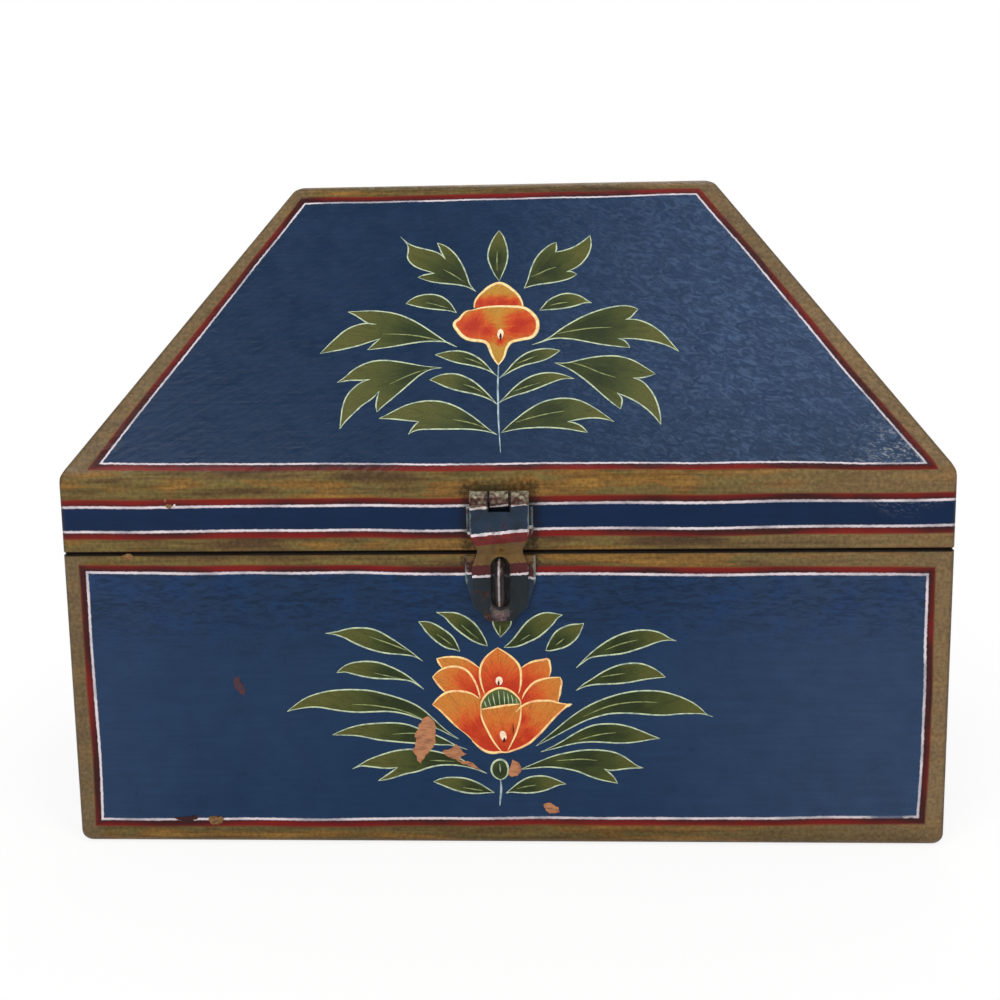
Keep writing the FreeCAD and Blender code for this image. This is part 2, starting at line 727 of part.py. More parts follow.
def hinge(side, sign, case_tack_holes, lid_tack_holes):
    """One butt hinge: two leaves of sheet iron rolled round a pin."""
    middle = f"({sign}(hinge_spread / 2))"
    axis_y = f"(case_depth / 2 + {HINGE_STAND})"
    pin = {"Radius": "hinge_pin_radius", "Height": "hinge_width"}
    at = (f"{middle} - hinge_width / 2", axis_y, "case_height")
    node(solid("Cylinder", f"{side}_hinge_pin", at, TO_RIGHT, **pin), f"{side}_hinge_pin")

    step = f"({HINGE_KNUCKLE} + knuckle_gap)"
    for owner, up, knuckles, tack_holes in (
        ("case", "-", (-1, 1), case_tack_holes),
        ("lid", "", (0,), lid_tack_holes),
    ):
        name = f"{side}_hinge_{owner}_leaf"
        wall, face = "(case_depth / 2)", "(case_depth / 2 + iron_gauge)"
        ends = sorted((f"{up}{HINGE_STAND}", f"{up}hinge_leaf_height"), key=value)
        low, high = (f"case_height + ({end})" for end in ends)
        left, right = f"{middle} - hinge_width / 2", f"{middle} + hinge_width / 2"
        pieces = [block(f"{name}_plate", (left, wall, low), (right, face, high))]
        for number in knuckles:
            left = f"({middle} + {step} * {number} - {HINGE_KNUCKLE} / 2)"
            right = f"({left} + {HINGE_KNUCKLE})"
            ends = sorted(("0", f"{up}({HINGE_STAND} + board / 3)"), key=value)
            low, high = (f"case_height + ({end})" for end in ends)
            tag = f"{name}_{number + 2}"
            pieces.append(block(f"{tag}_tongue", (left, wall, low), (right, face, high)))
            at = (left, axis_y, "case_height")
            sizes = {"Radius": HINGE_BARREL, "Height": HINGE_KNUCKLE}
            pieces.append(solid("Cylinder", f"{tag}_knuckle", at, TO_RIGHT, **sizes))
        at = (f"{middle} - hinge_width", axis_y, "case_height")
        sizes = {"Radius": "hinge_pin_radius + pin_fit", "Height": "2 * hinge_width"}
        bore = solid("Cylinder", f"{name}_bore", at, TO_RIGHT, **sizes)
        node(without(name, joined(f"{name}_whole", pieces), [bore, tack_holes]), name)


def tack_places():
    """Where the tacks of each fitting stand, outer face first."""
    front = "-(case_depth / 2 + iron_gauge)"
    leaf_z = f"{HASP_AXIS_Z} - {HASP_STAND} - hasp_leaf_width / 5"
    leaf, plate = [], []
    for sign in "-+":
        across = f"hasp_shift {sign} hasp_leaf_width * {TACK_SHARE}"
        leaf.append(((across, front, leaf_z), NAIL_BACK))
        across = f"hasp_shift {sign} staple_plate_width * {TACK_SHARE}"
        plate.append(((across, front, STAPLE_Z), NAIL_BACK))
    back = "case_depth / 2 + iron_gauge"
    case, lid = [], []
    for side in "-+":
        for sign in "-+":
            across = f"0 {side} hinge_spread / 2 {sign} hinge_width * {TACK_SHARE}"
            middle = f"(hinge_leaf_height + {HINGE_STAND}) / 2"
            case.append(((across, back, f"case_height - {middle}"), NAIL_FRONT))
            lid.append(((across, back, f"case_height + {middle}"), NAIL_FRONT))
    return leaf, plate, case, lid


def build():
    corner, base = case_nail_places()
    rails, feet, hips, tops = lid_nail_places()
    leaf, plate, case, lid = tack_places()
    corner = fasteners("case_corner_nails", nail_and_hole, corner)
    base = fasteners("bottom_board_nails", open_nail_and_hole, base)
    rails = fasteners("rail_corner_nails", nail_and_hole, rails)
    feet = fasteners("slope_foot_nails", nail_and_hole, feet)
    hips = fasteners("hip_nails", nail_and_hole, hips)
    tops = fasteners("top_board_nails", nail_and_hole, tops)
    leaf = fasteners("hasp_leaf_tacks", tack_and_hole, leaf)
    plate = fasteners("staple_plate_tacks", tack_and_hole, plate)
    case = fasteners("case_hinge_tacks", tack_and_hole, case)
    lid = fasteners("lid_hinge_tacks", tack_and_hole, lid)

    leg_holes = staple_and_plate(plate)
    case_boards(
        {
            "bottom_board": [base],
            "front_board": [corner, base, plate, leg_holes],
            "back_board": [corner, base, case],
            "left_end_board": [corner, base],
            "right_end_board": [corner, base],
        }
    )
    lid_boards(
        {
            "lid_front_rail": [rails, feet, leaf],
            "lid_back_rail": [rails, feet, lid],
            "lid_left_rail": [rails, feet],
            "lid_right_rail": [rails, feet],
            "lid_front_slope": [feet, hips, tops],
            "lid_back_slope": [feet, hips, tops],
            "lid_left_slope": [feet, hips],
            "lid_right_slope": [feet, hips],
            "lid_top_board": [tops],
        }
    )
    hasp_strap()
    hasp_leaf(leaf)
    at = (f"hasp_shift - {STRAP_WIDTH} / 2", f"-(case_depth / 2 + {HASP_STAND})", HASP_AXIS_Z)
    sizes = {"Radius": "hasp_pin_radius", "Height": STRAP_WIDTH}
    node(solid("Cylinder", "hasp_pin", at, TO_RIGHT, **sizes), "hasp_pin")
    hinge("left", "-", case, lid)
    hinge("right", "", case, lid)
    doc.recompute()


def check():
    """Stops on any object that failed, and on any sub-part that isn't a valid solid."""
    failed = [item.Name for item in doc.Objects if {"Invalid", "Error"} & set(item.State)]
    if failed:
        raise RuntimeError(f"failed: {failed}")
    for item in nodes:
        shape = item.Shape
        if shape.isNull() or not shape.isValid() or not shape.Solids:
            raise RuntimeError(f"bad shape: {item.Label}")


def write():
    os.makedirs("parts", exist_ok=True)
    for item in nodes:
        item.Shape.exportStep(f"parts/{item.Label}.step")
        box = item.Shape.BoundBox
        size = f"{box.XLength:.1f} x {box.YLength:.1f} x {box.ZLength:.1f}"
        print(f"{item.Label}: {len(item.Shape.Solids)} solid(s), {item.Shape.Volume:.0f} mm3, {size}")


build()
check()
write()
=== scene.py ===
import math

import bmesh
import bpy
from mathutils import Matrix, Vector, noise


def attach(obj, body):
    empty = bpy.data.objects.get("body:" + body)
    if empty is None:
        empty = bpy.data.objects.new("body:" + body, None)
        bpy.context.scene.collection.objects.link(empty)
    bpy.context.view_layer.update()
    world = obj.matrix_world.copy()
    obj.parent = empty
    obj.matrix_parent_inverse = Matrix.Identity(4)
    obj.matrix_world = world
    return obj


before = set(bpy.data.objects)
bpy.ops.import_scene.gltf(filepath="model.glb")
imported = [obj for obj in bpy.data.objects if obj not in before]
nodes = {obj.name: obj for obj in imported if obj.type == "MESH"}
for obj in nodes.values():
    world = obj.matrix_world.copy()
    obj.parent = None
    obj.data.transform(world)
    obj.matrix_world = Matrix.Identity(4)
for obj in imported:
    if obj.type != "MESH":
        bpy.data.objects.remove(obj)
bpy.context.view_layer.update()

# Sizes of the box in millimetres, as it was built. From the arris at the band's top the slopes rise
# by RISE, lean in by INSET and are SLOPE long.
HALF_WIDTH = 175.0
HALF_DEPTH = 120.0
SEAM = 122.0
ARRIS = 153.0
TOP = 266.0
RISE = 113.0
INSET = 84.5
SLOPE = 141.1


def srgb(code):
    """A colour written as hex digits, as the linear colour that a shader takes."""
    parts = [int(code[i:i + 2], 16) / 255 for i in (1, 3, 5)]
    return [c / 12.92 if c < 0.04045 else ((c + 0.055) / 1.055) ** 2.4 for c in parts] + [1.0]


def adder(tree):
    """The function that adds a node to this tree. A word after the kind is its operation or its type
    of data, and a kind all in capitals is the operation of a Math node. The values fill or link its
    live inputs in turn, and a name with a capital does so for the input of that name. ramp gives its
    colour stops, and any other name is a setting. It returns the node's first live output, or the
    one that out names, or all of them."""
    def add(kind, *values, out=None, ramp=(), **named):
        kind, _, mode = ("Math " + kind if kind.isupper() else kind).partition(" ")
        made = tree.nodes.new(kind if kind.startswith("Node") else "ShaderNode" + kind)
        if mode:
            setattr(made, "data_type" if kind == "Mix" else "operation", mode)
        for name in [name for name in named if name[0].islower()]:
            setattr(made, name, named.pop(name))
        fed = list(zip([socket for socket in made.inputs if socket.enabled], values))
        fed += [(made.inputs[name.replace("_", " ")], value) for name, value in named.items()]
        for socket, value in fed:
            if isinstance(value, bpy.types.NodeSocket):
                tree.links.new(value, socket)
            else:
                socket.default_value = srgb(value) if isinstance(value, str) else value
        for number, (position, code) in enumerate(ramp):
            stops = made.color_ramp.elements
            stop = stops[number] if number < 2 else stops.new(position)
            stop.position = position
            stop.color = srgb(code)
        if out:
            return made.outputs if out == "all" else made.outputs[out]
        return next((socket for socket in made.outputs if socket.enabled), None)
    return add


def material(name):
    """An empty material, the function that adds its nodes, and the place on the object in
    millimetres."""
    made = bpy.data.materials.new(name)
    made.use_nodes = True
    made.node_tree.nodes.clear()
    add = adder(made.node_tree)
    return made, add, add("VectorMath SCALE", add("TexCoord", out="Object"), Scale=1000.0)


# Where the painter put each colour.
def paint_layout():
    """A group that tells a point of the surface how far inside a blue field it is, how near the outer
    skin it lies and how near it is to an edge, all in millimetres."""
    tree = bpy.data.node_groups.new("paint layout", "ShaderNodeTree")
    for name in ("field", "skin", "edge", "seam", "border"):
        tree.interface.new_socket(name, in_out="OUTPUT", socket_type="NodeSocketFloat")
    add = adder(tree)
    mm = add("VectorMath SCALE", add("TexCoord", out="Object"), Scale=1000.0)

    # The true planes of the box, for the skin and the edges.
    ax, ay, z = add("SeparateXYZ", add("VectorMath ABSOLUTE", mm), out="all")
    dx = add("SUBTRACT", ax, HALF_WIDTH)
    dy = add("SUBTRACT", ay, HALF_DEPTH)
    wall = add("MAXIMUM", dx, dy)
    rise = add("SUBTRACT", z, ARRIS)
    lean = add("MULTIPLY", wall, RISE / SLOPE)
    slope = add("MULTIPLY_ADD", rise, INSET / SLOPE, lean)
    above = add("SUBTRACT", z, TOP)
    sides = add("MAXIMUM", wall, slope)
    skin = add("MAXIMUM", sides, above)
    corner = add("ABSOLUTE", add("SUBTRACT", dx, dy))
    # On the flat top, inside the sides, no corner is near.
    inner = add("MULTIPLY", sides, -1.0)
    corner = add("MAXIMUM", corner, inner)
    seam = add("ABSOLUTE", add("SUBTRACT", z, SEAM))
    brow = add("ABSOLUTE", add("SUBTRACT", slope, above))
    edge = add("MINIMUM", add("MINIMUM", add("MINIMUM", corner, seam), brow), z)

    # The painter's hand wanders about half a millimetre every 60 mm or so.
    hand = add("TexNoise", mm, out="Color", Scale=1 / 60, Detail=1.0)
    hand = add("VectorMath SUBTRACT", hand, (0.5, 0.5, 0.5))
    hand = add("VectorMath MULTIPLY_ADD", hand, (2.4, 2.4, 2.4), mm)
    x, y, z = add("SeparateXYZ", hand, out="all")
    ax = add("ABSOLUTE", x)
    ay = add("ABSOLUTE", y)
    dx = add("SUBTRACT", ax, HALF_WIDTH)
    dy = add("SUBTRACT", ay, HALF_DEPTH)
    side = add("SUBTRACT", add("ABSOLUTE", add("ADD", x, 0.5)), HALF_WIDTH)
    side = add("ABSOLUTE", add("SUBTRACT", side, dy))

    # Case: a frame about 10 mm in from the ends, 9 mm from the seam and 11 mm up from the table, which
    # narrows a little to the right.
    case_side = add("SUBTRACT", side, 10.4)
    case_rise = add("ABSOLUTE", add("SUBTRACT", z, 62.25))
    case_half = add("MULTIPLY_ADD", x, -0.0065, 50.2)
    case_rise = add("SUBTRACT", case_half, case_rise)
    case = add("MINIMUM", case_side, case_rise)

    # Lid's band: one stripe round the box, which climbs a little to the right.
    band = add("ABSOLUTE", add("SUBTRACT", add("MULTIPLY_ADD", x, -0.002, z), 135.95))
    band = add("SUBTRACT", 4.35, band)

    # Sloping boards: a frame that stands a little askew, 9 mm in from the hips.
    rise = add("SUBTRACT", z, ARRIS)
    up = add("MULTIPLY", rise, SLOPE / RISE)
    askew = add("ABSOLUTE", add("ADD", add("MULTIPLY_ADD", up, 0.0201, -1.35), x))
    hip = add("ABSOLUTE", add("SUBTRACT", add("SUBTRACT", askew, HALF_WIDTH), dy))
    lid = add("MULTIPLY_ADD", hip, 0.858, -10.4)
    tilt = add("MULTIPLY", x, 0.0085)
    foot = add("ADD", add("SUBTRACT", up, 5.25), tilt)
    head = add("ADD", add("SUBTRACT", 132.15, up), tilt)
    lid = add("MINIMUM", add("MINIMUM", lid, foot), head)

    # Flat top: a small framed field of its own.
    flat_x = add("SUBTRACT", 81.5, ax)
    flat_y = add("SUBTRACT", 26.5, ay)
    flat = add("MINIMUM", flat_x, flat_y)

    field = add("MAXIMUM", add("MAXIMUM", add("MAXIMUM", case, band), lid), flat)
    # How far in from the upright corners and the hips, for the borders that run up the boards.
    high = add("GREATER_THAN", z, ARRIS)
    border = add("Mix", high, side, hip)
    add("NodeGroupOutput", field, skin, edge, seam, border)
    return tree


LAYOUT = paint_layout()


def board_paint(name, grain):
    """Oil paint brushed on softwood boards: olive ground, blue fields, red and white lines, and bare
    old wood wherever the brush didn't reach. grain is how the grain runs, as a scale for each axis."""
    made, add, mm = material(name)
    layout = add("Group", out="all", node_tree=LAYOUT)
    x, y, z = add("SeparateXYZ", mm, out="all")
    along = add("Mapping", mm, Scale=grain)

    # Patterns, each with its real size: clouds 70 mm, patches 16 mm, grain lines 1.4 mm wide, specks
    # 1.5 mm and the tooth of the ground 0.5 mm.
    cloud = add("TexNoise", mm, Scale=1 / 70, Detail=4.0)
    patch = add("TexNoise", along, Scale=1 / 7, Detail=5.0)
    streak = add("TexNoise", along, Scale=1 / 1.4, Detail=5.0)
    speck = add("TexNoise", mm, Scale=1 / 1.5, Detail=6.0)
    tooth = add("TexNoise", mm, Scale=1 / 0.5, Detail=2.0)
    blot = add("TexNoise", mm, Scale=1 / 9, Detail=5.0)

    # Olive ground: a thin glaze, brown where it pools, greener and yellower where it lies thin.
    drift = add("TexNoise", add("Mapping", along, Scale=(6.0, 6.0, 1.0)), Scale=1 / 8, Detail=5.0)
    pools = add("SUBTRACT", add("MULTIPLY_ADD", drift, 0.75, patch), 0.375)
    olive = add("ValToRGB", pools, ramp=((0.3, "#4b3823"), (0.42, "#5f4b2a"), (0.5, "#655730"),
                                         (0.57, "#705128"), (0.7, "#8a6731")))
    # Grain shows through as dark lines on the long rails, and hardly at all on the borders beside
    # the corners and hips, which are thicker, smoother and greyer.
    upright = add("MapRange", layout["border"], 6.0, 12.0, 1.0, 0.0)
    band = add("ABSOLUTE", add("SUBTRACT", z, 137.5))
    off_band = add("MapRange", band, 15.0, 17.5)
    upright = add("MULTIPLY", upright, off_band)
    even = add("MapRange", cloud, 0.3, 0.7, 0.8, 1.1)
    # Painted sheen: to the right the olive turns lighter and smoother.
    painted_olive_sheen = add("MapRange", x, 60.0, 165.0)
    smooth = add("Mix RGBA", painted_olive_sheen, "#6c5a41", "#7a6448")
    smooth = add("Mix RGBA", 1.0, smooth, even, blend_type="MULTIPLY")
    thick = add("MULTIPLY", upright, 0.8)
    faded_and_sheen = add("MULTIPLY", painted_olive_sheen, 0.6)
    thick = add("MAXIMUM", thick, faded_and_sheen)
    olive = add("Mix RGBA", thick, olive, smooth)
    olive_tone = add("Mix", thick, add("MapRange", streak, 0.34, 0.54, 0.66), 0.92)
    mottle = add("MapRange", speck, 0.36, 0.64, 0.76, 1.2)
    olive_tone = add("MULTIPLY", olive_tone, mottle)
    # The olive is darker towards the foot of the case.
    foot = add("MapRange", z, 2.0, 13.0, 0.74)
    olive_tone = add("MULTIPLY", olive_tone, foot)
    olive = add("Mix RGBA", 1.0, olive, olive_tone, blend_type="MULTIPLY")

    # Blue fields: flat brush work, cloudy, darker on the band, and paler and greyer to both sides as painted
    # sheen.
    blue = add("ValToRGB", cloud, ramp=((0.32, "#122b49"), (0.68, "#192f4b")))
    on_band = add("MapRange", off_band, 0.0, 1.0, 0.68, 0.0)
    blue = add("Mix RGBA", on_band, blue, "#001434")
    # Painted sheen: the blue is mixed paler and greyer towards the right, and a little towards the left.
    left = add("MapRange", x, -165.0, -110.0, 0.35, 0.0)
    painted_blue_sheen = add("ADD", add("MapRange", x, 40.0, 140.0, 0.0, 0.6), left)
    painted_blue_sheen = add("MULTIPLY", painted_blue_sheen, off_band)
    blue = add("Mix RGBA", painted_blue_sheen, blue, "#2e405c")
    tone = add("MapRange", streak, 0.3, 0.7, 0.93, 1.06)
    grit = add("MapRange", tooth, 0.3, 0.7, 0.9, 1.1)
    tone = add("MULTIPLY", tone, grit)
    # Painted shade: on the lid the front slope is darker to the left and at its foot.
    east = add("MapRange", x, -20.0, 90.0)
    slope_shade = add("Mix", east, 0.78, add("MapRange", z, 160.0, 190.0, 0.8))
    raised = add("MapRange", z, 152.0, 154.0)
    slope_shade = add("Mix", raised, 1.0, slope_shade)
    tone = add("MULTIPLY", tone, slope_shade)
    # High on the case the paint was laid twice: bluer patches with short dark scuffs along the grain.
    twice = add("MapRange", z, 76.0, 100.0)
    single = add("SUBTRACT", 1.0, raised)
    twice = add("MULTIPLY", add("MULTIPLY", twice, single), off_band)
    bluer = add("MULTIPLY", add("MapRange", blot, 0.45, 0.62, 0.0, 0.3), twice)
    blue = add("Mix RGBA", bluer, blue, "#0c2c5a")
    scuff = add("Mapping", along, Scale=(5.0, 5.0, 1.0))
    scuff = add("TexNoise", scuff, Scale=1 / 1.3, Detail=4.0, Distortion=0.9)
    scuff = add("MULTIPLY", add("MapRange", scuff, 0.44, 0.64, 0.0, 0.38), twice)
    scuff = add("SUBTRACT", 1.0, scuff)
    tone = add("MULTIPLY", tone, scuff)
    even = add("MapRange", blot, 0.34, 0.66, 0.93, 1.07)
    tone = add("MULTIPLY", tone, even)
    # The right of the lid's front has wrinkled, with painted light on the folds: painted highlights on
    # their tops and painted shade as thin dark creases between them.
    pebble = add("Mapping", add("Mapping", mm, Rotation=(0.0, -0.5, 0.0)), Scale=(0.45, 1.0, 1.0))
    pebble = add("TexNoise", pebble, Scale=1 / 2.4, Detail=4.0, Roughness=0.6, Distortion=1.4)
    rough_side = add("MapRange", x, -40.0, 50.0)
    crease = add("MapRange", add("ABSOLUTE", add("SUBTRACT", pebble, 0.5)), 0.0, 0.03, 0.8)
    painted_fold_shading = add("MULTIPLY", add("MapRange", pebble, 0.36, 0.64, 0.92, 1.22), crease)
    wrinkled = add("MULTIPLY", east, raised)
    painted_fold_shading = add("Mix", wrinkled, 1.0, painted_fold_shading)
    painted_fold_highlight = add("MULTIPLY", add("MapRange", pebble, 0.42, 0.66, 0.0, 0.42), wrinkled)
    blue = add("Mix RGBA", painted_fold_highlight, blue, "#475974")
    tone = add("MULTIPLY", tone, painted_fold_shading)
    blue = add("Mix RGBA", 1.0, blue, tone, blend_type="MULTIPLY")

    # Red and white lines, drawn with a liner brush over the join of the two grounds. The red is
    # clear next to the olive and goes dark where it runs over the blue.
    ragged = add("SUBTRACT", speck, 0.5)
    line = add("MULTIPLY_ADD", ragged, 0.7, layout["field"])
    depth = add("MapRange", line, -4.0, -1.4, 0.12, -0.12)
    clear = add("ADD", add("TexNoise", mm, Scale=1 / 40, Detail=4.0), depth)
    clear = add("MULTIPLY_ADD", upright, -0.09, clear)
    red = add("ValToRGB", clear, ramp=((0.34, "#300a10"), (0.6, "#6d0f10")))
    in_red = add("MapRange", line, -4.1, -3.3, 0.0, 0.95)
    colour = add("Mix RGBA", in_red, olive, red)
    in_blue = add("MapRange", line, -1.35, -1.0)
    colour = add("Mix RGBA", in_blue, colour, blue)
    rim = add("ABSOLUTE", add("ADD", line, 0.65))
    thin = add("MULTIPLY_ADD", raised, 0.3, 1.0)
    rim = add("MULTIPLY", rim, thin)
    in_white = add("MapRange", rim, 0.3, 0.66, 1.0, 0.0)
    wear_and_highlight = add("MapRange", add("TexNoise", mm, Scale=1 / 14, Detail=6.0), 0.34, 0.56, 0.5)
    rubbed = add("VectorMath DISTANCE", mm, (153.0, -120.0, 12.0))
    rubbed = add("MapRange", add("MULTIPLY_ADD", ragged, 12.0, rubbed), 5.0, 10.0, 0.15)
    wear_and_highlight = add("MULTIPLY", wear_and_highlight, rubbed)
    in_white = add("MULTIPLY", in_white, wear_and_highlight)
    colour = add("Mix RGBA", in_white, colour, "#cbc0c4")

    # Painted glints: pale specks of painted highlight on the wrinkled paint by the right foot of the lid.
    glint = add("VectorMath DISTANCE", mm, (155.0, -117.0, 158.0))
    glint = add("MULTIPLY", add("MapRange", glint, 6.0, 25.0, 0.75, 0.0), in_blue)
    foam = add("Mapping", add("Mapping", mm, Rotation=(0.0, -0.3, 0.0)), Scale=(0.5, 1.0, 1.0))
    foam = add("TexNoise", foam, Scale=1 / 1.3, Detail=4.0, Roughness=0.65, Distortion=1.2)
    peak = add("MapRange", foam, 0.52, 0.66)
    glint = add("MULTIPLY", glint, peak)
    colour = add("Mix RGBA", glint, colour, "#868b92")

    # Handling and painted shade: edges darker, partly rubbed and partly painted shade on their
    # rounding; painted shade as a black line along the seam and round the hasp.
    edge_wear_and_shade = add("MULTIPLY", add("MapRange", layout["edge"], 0.3, 2.6, 0.62, 0.0), blot)
    edge_wear_and_shade = add("MapRange", edge_wear_and_shade, 0.12, 0.34, 0.0, 0.45)
    colour = add("Mix RGBA", edge_wear_and_shade, colour, "#2f2415")
    away = add("VectorMath ABSOLUTE", add("VectorMath ADD", mm, (0.6, 119.0, -133.0)))
    away = add("VectorMath SUBTRACT", away, (13.5, 2.0, 15.5))
    away = add("VectorMath LENGTH", add("VectorMath MAXIMUM", away, (0.0, 0.0, 0.0)))
    painted_shade = add("MapRange", add("MULTIPLY_ADD", ragged, 6.0, away), 0.0, 2.6, 0.62, 0.0)
    seam_shade = add("MapRange", layout["seam"], 0.7, 1.1, 1.0, 0.0)
    painted_shade = add("MAXIMUM", painted_shade, seam_shade)
    colour = add("Mix RGBA", painted_shade, colour, "#140e0a")

    # Bare wood inside and underneath: dry, yellow brown, with 2 mm grain.
    wood_line = add("TexNoise", along, Scale=1 / 2, Detail=6.0)
    wood = add("ValToRGB", wood_line, ramp=((0.34, "#6b4a2c"), (0.66, "#b08a5c")))
    painted = add("MapRange", add("MULTIPLY_ADD", ragged, 1.6, layout["skin"]), -2.5, -2.0)
    colour = add("Mix RGBA", painted, wood, colour)

    # The paint shows the brush and the grain under it, is pebbled on the right of the lid, creased
    # on its left, and lies a hair proud in the lines.
    crease = add("Mapping", add("Mapping", mm, Rotation=(0.0, 0.75, 0.0)), Scale=(0.14, 1.0, 1.0))
    crease = add("TexNoise", crease, Scale=1 / 2.6, Detail=3.0)
    wrinkle = add("MapRange", x, 0.0, 150.0, 1.0, 2.6)
    pebble = add("MULTIPLY", pebble, wrinkle)
    relief = add("Mix", rough_side, crease, pebble)
    calm = add("Mix", raised, 0.45, 1.0)
    relief = add("MULTIPLY", add("MULTIPLY", relief, calm), off_band)
    height = add("MULTIPLY_ADD", in_white, 0.25, add("MULTIPLY_ADD", streak, 0.25, relief))
    bump = add("Bump", Strength=0.6, Distance=0.0007, Height=height)
    gloss = add("MapRange", blot, 0.3, 0.7, 0.27, 0.45)
    dull = add("Mix", painted, 0.8, gloss)
    shader = add("BsdfPrincipled", Base_Color=colour, Roughness=dull, Normal=bump, IOR=1.48,
                 Specular_IOR_Level=0.13)
    add("OutputMaterial", shader)
    return made


BOARD_LONG = board_paint("oil_paint_on_softwood_long", (0.05, 1.0, 1.0))
BOARD_END = board_paint("oil_paint_on_softwood_end", (1.0, 0.05, 1.0))


def painted_iron(name, tilt, rust_from, half_width, blue):
    """Hammered sheet iron that was painted over with the same stripes as the boards, and has since
    been rubbed to grey metal and rust where fingers and the staple touch it. tilt is how the stripes
    slant and where, rust_from the height above which it has rusted, half_width where its sides are,
    blue its colour below the white line."""
    made, add, mm = material(name)
    x, y, z = add("SeparateXYZ", mm, out="all")
    fine = add("TexNoise", mm, Scale=1 / 1.6, Detail=6.0)
    blot = add("TexNoise", mm, Scale=1 / 5, Detail=5.0)
    ragged = add("SUBTRACT", fine, 0.5)

    # The stripes climb to the right on the strap, and on the plate they follow the board's.
    upper = add("MULTIPLY", x, -0.094)
    lower = add("MULTIPLY_ADD", x, tilt[0], tilt[1])
    above = add("MapRange", z, 119.0, 123.0)
    level = add("MULTIPLY_ADD", ragged, 1.1, add("ADD", add("Mix", above, lower, upper), z))
    level = add("MapRange", level, 90.0, 150.0)
    stripes = add("ValToRGB", level, ramp=[((height - 90) / 60, code) for height, code in (
        (90, blue), (112.8, "#c6bcc0"), (113.8, "#430a0e"), (117.8, "#64491f"), (126.4, "#64100e"),
        (130.4, "#cbc0c4"), (131.6, "#102438"), (140.9, "#c4b6b4"), (141.8, "#5f4a40"))])
    stripes.node.color_ramp.interpolation = "CONSTANT"
    cloud = add("MapRange", blot, 0.32, 0.68, 0.6, 1.28)
    paint = add("Mix RGBA", 1.0, stripes, cloud, blend_type="MULTIPLY")

    # Rubbed metal and rust: all over the knuckles, at the plate's point and its upper corners.
    # The knuckles are dark red rust in front and rubbed to a pale olive grey on top.
    top = add("MapRange", z, 141.5, 147.5, -0.14, 0.2)
    rust = add("ADD", fine, top)
    rust = add("ValToRGB", rust, ramp=((0.3, "#2a1512"), (0.46, "#43241f"), (0.58, "#5e5344"),
                                       (0.74, "#8d8872")))
    high = add("MapRange", z, 141.0, 143.0, 0.0, 0.32)
    low = add("MapRange", z, 94.0, 98.0, 0.1, 0.0)
    corner = add("MapRange", z, rust_from, rust_from + 3, 0.0, 0.12)
    wear = add("ADD", add("ADD", add("ADD", blot, high), low), corner)
    wear = add("MapRange", wear, 0.6, 0.7)
    # Pale lines down the long sides of the strap and the plate: partly rubbed metal, partly painted
    # highlight on their edges.
    middle = add("ABSOLUTE", add("ADD", x, 0.6))
    line = add("MULTIPLY_ADD", ragged, 2.0, add("SUBTRACT", middle, half_width - 0.9))
    line = add("MapRange", line, 0.0, 0.4, 0.0, 0.6)
    paint = add("Mix RGBA", line, paint, "#6f7976")
    colour = add("Mix RGBA", wear, paint, rust)
    # A whitish patch rubbed by the staple's foot and by fingers under it, pink towards the tip.
    patch = add("MULTIPLY_ADD", ragged, 9.0, add("VectorMath DISTANCE", mm, (-0.8, -123.0, 99.2)))
    patch = add("MapRange", patch, 1.4, 4.4, 0.62, 0.0)
    pink = add("Mix RGBA", add("MapRange", z, 96.0, 99.0), "#9c7276", "#6f625a")
    colour = add("Mix RGBA", patch, colour, pink)
    # Painted shade: black in the slot round the staple and in the gaps between the knuckles.
    rise = add("SUBTRACT", add("ABSOLUTE", add("SUBTRACT", z, 109.75)), 6.65)
    rise = add("MAXIMUM", rise, 0.0)
    slot = add("SUBTRACT", add("VectorMath LENGTH", add("CombineXYZ", middle, rise)), 3.6)
    gap = add("SUBTRACT", add("ABSOLUTE", add("SUBTRACT", middle, 4.15)), 0.3)
    under = add("SUBTRACT", 139.5, z)
    gap = add("MAXIMUM", gap, under)
    painted_shade = add("MapRange", add("MINIMUM", slot, gap), 0.1, 0.5, 0.9, 0.0)
    colour = add("Mix RGBA", painted_shade, colour, "#0a0706")
    metal = add("MULTIPLY", wear, 0.35)
    bump = add("Bump", Strength=0.6, Distance=0.0005, Height=blot)
    rough = add("MapRange", fine, 0.3, 0.7, 0.26, 0.5)
    shader = add("BsdfPrincipled", Base_Color=colour, Metallic=metal, Roughness=rough, Normal=bump,
                 Specular_IOR_Level=0.3)
    add("OutputMaterial", shader)
    return made


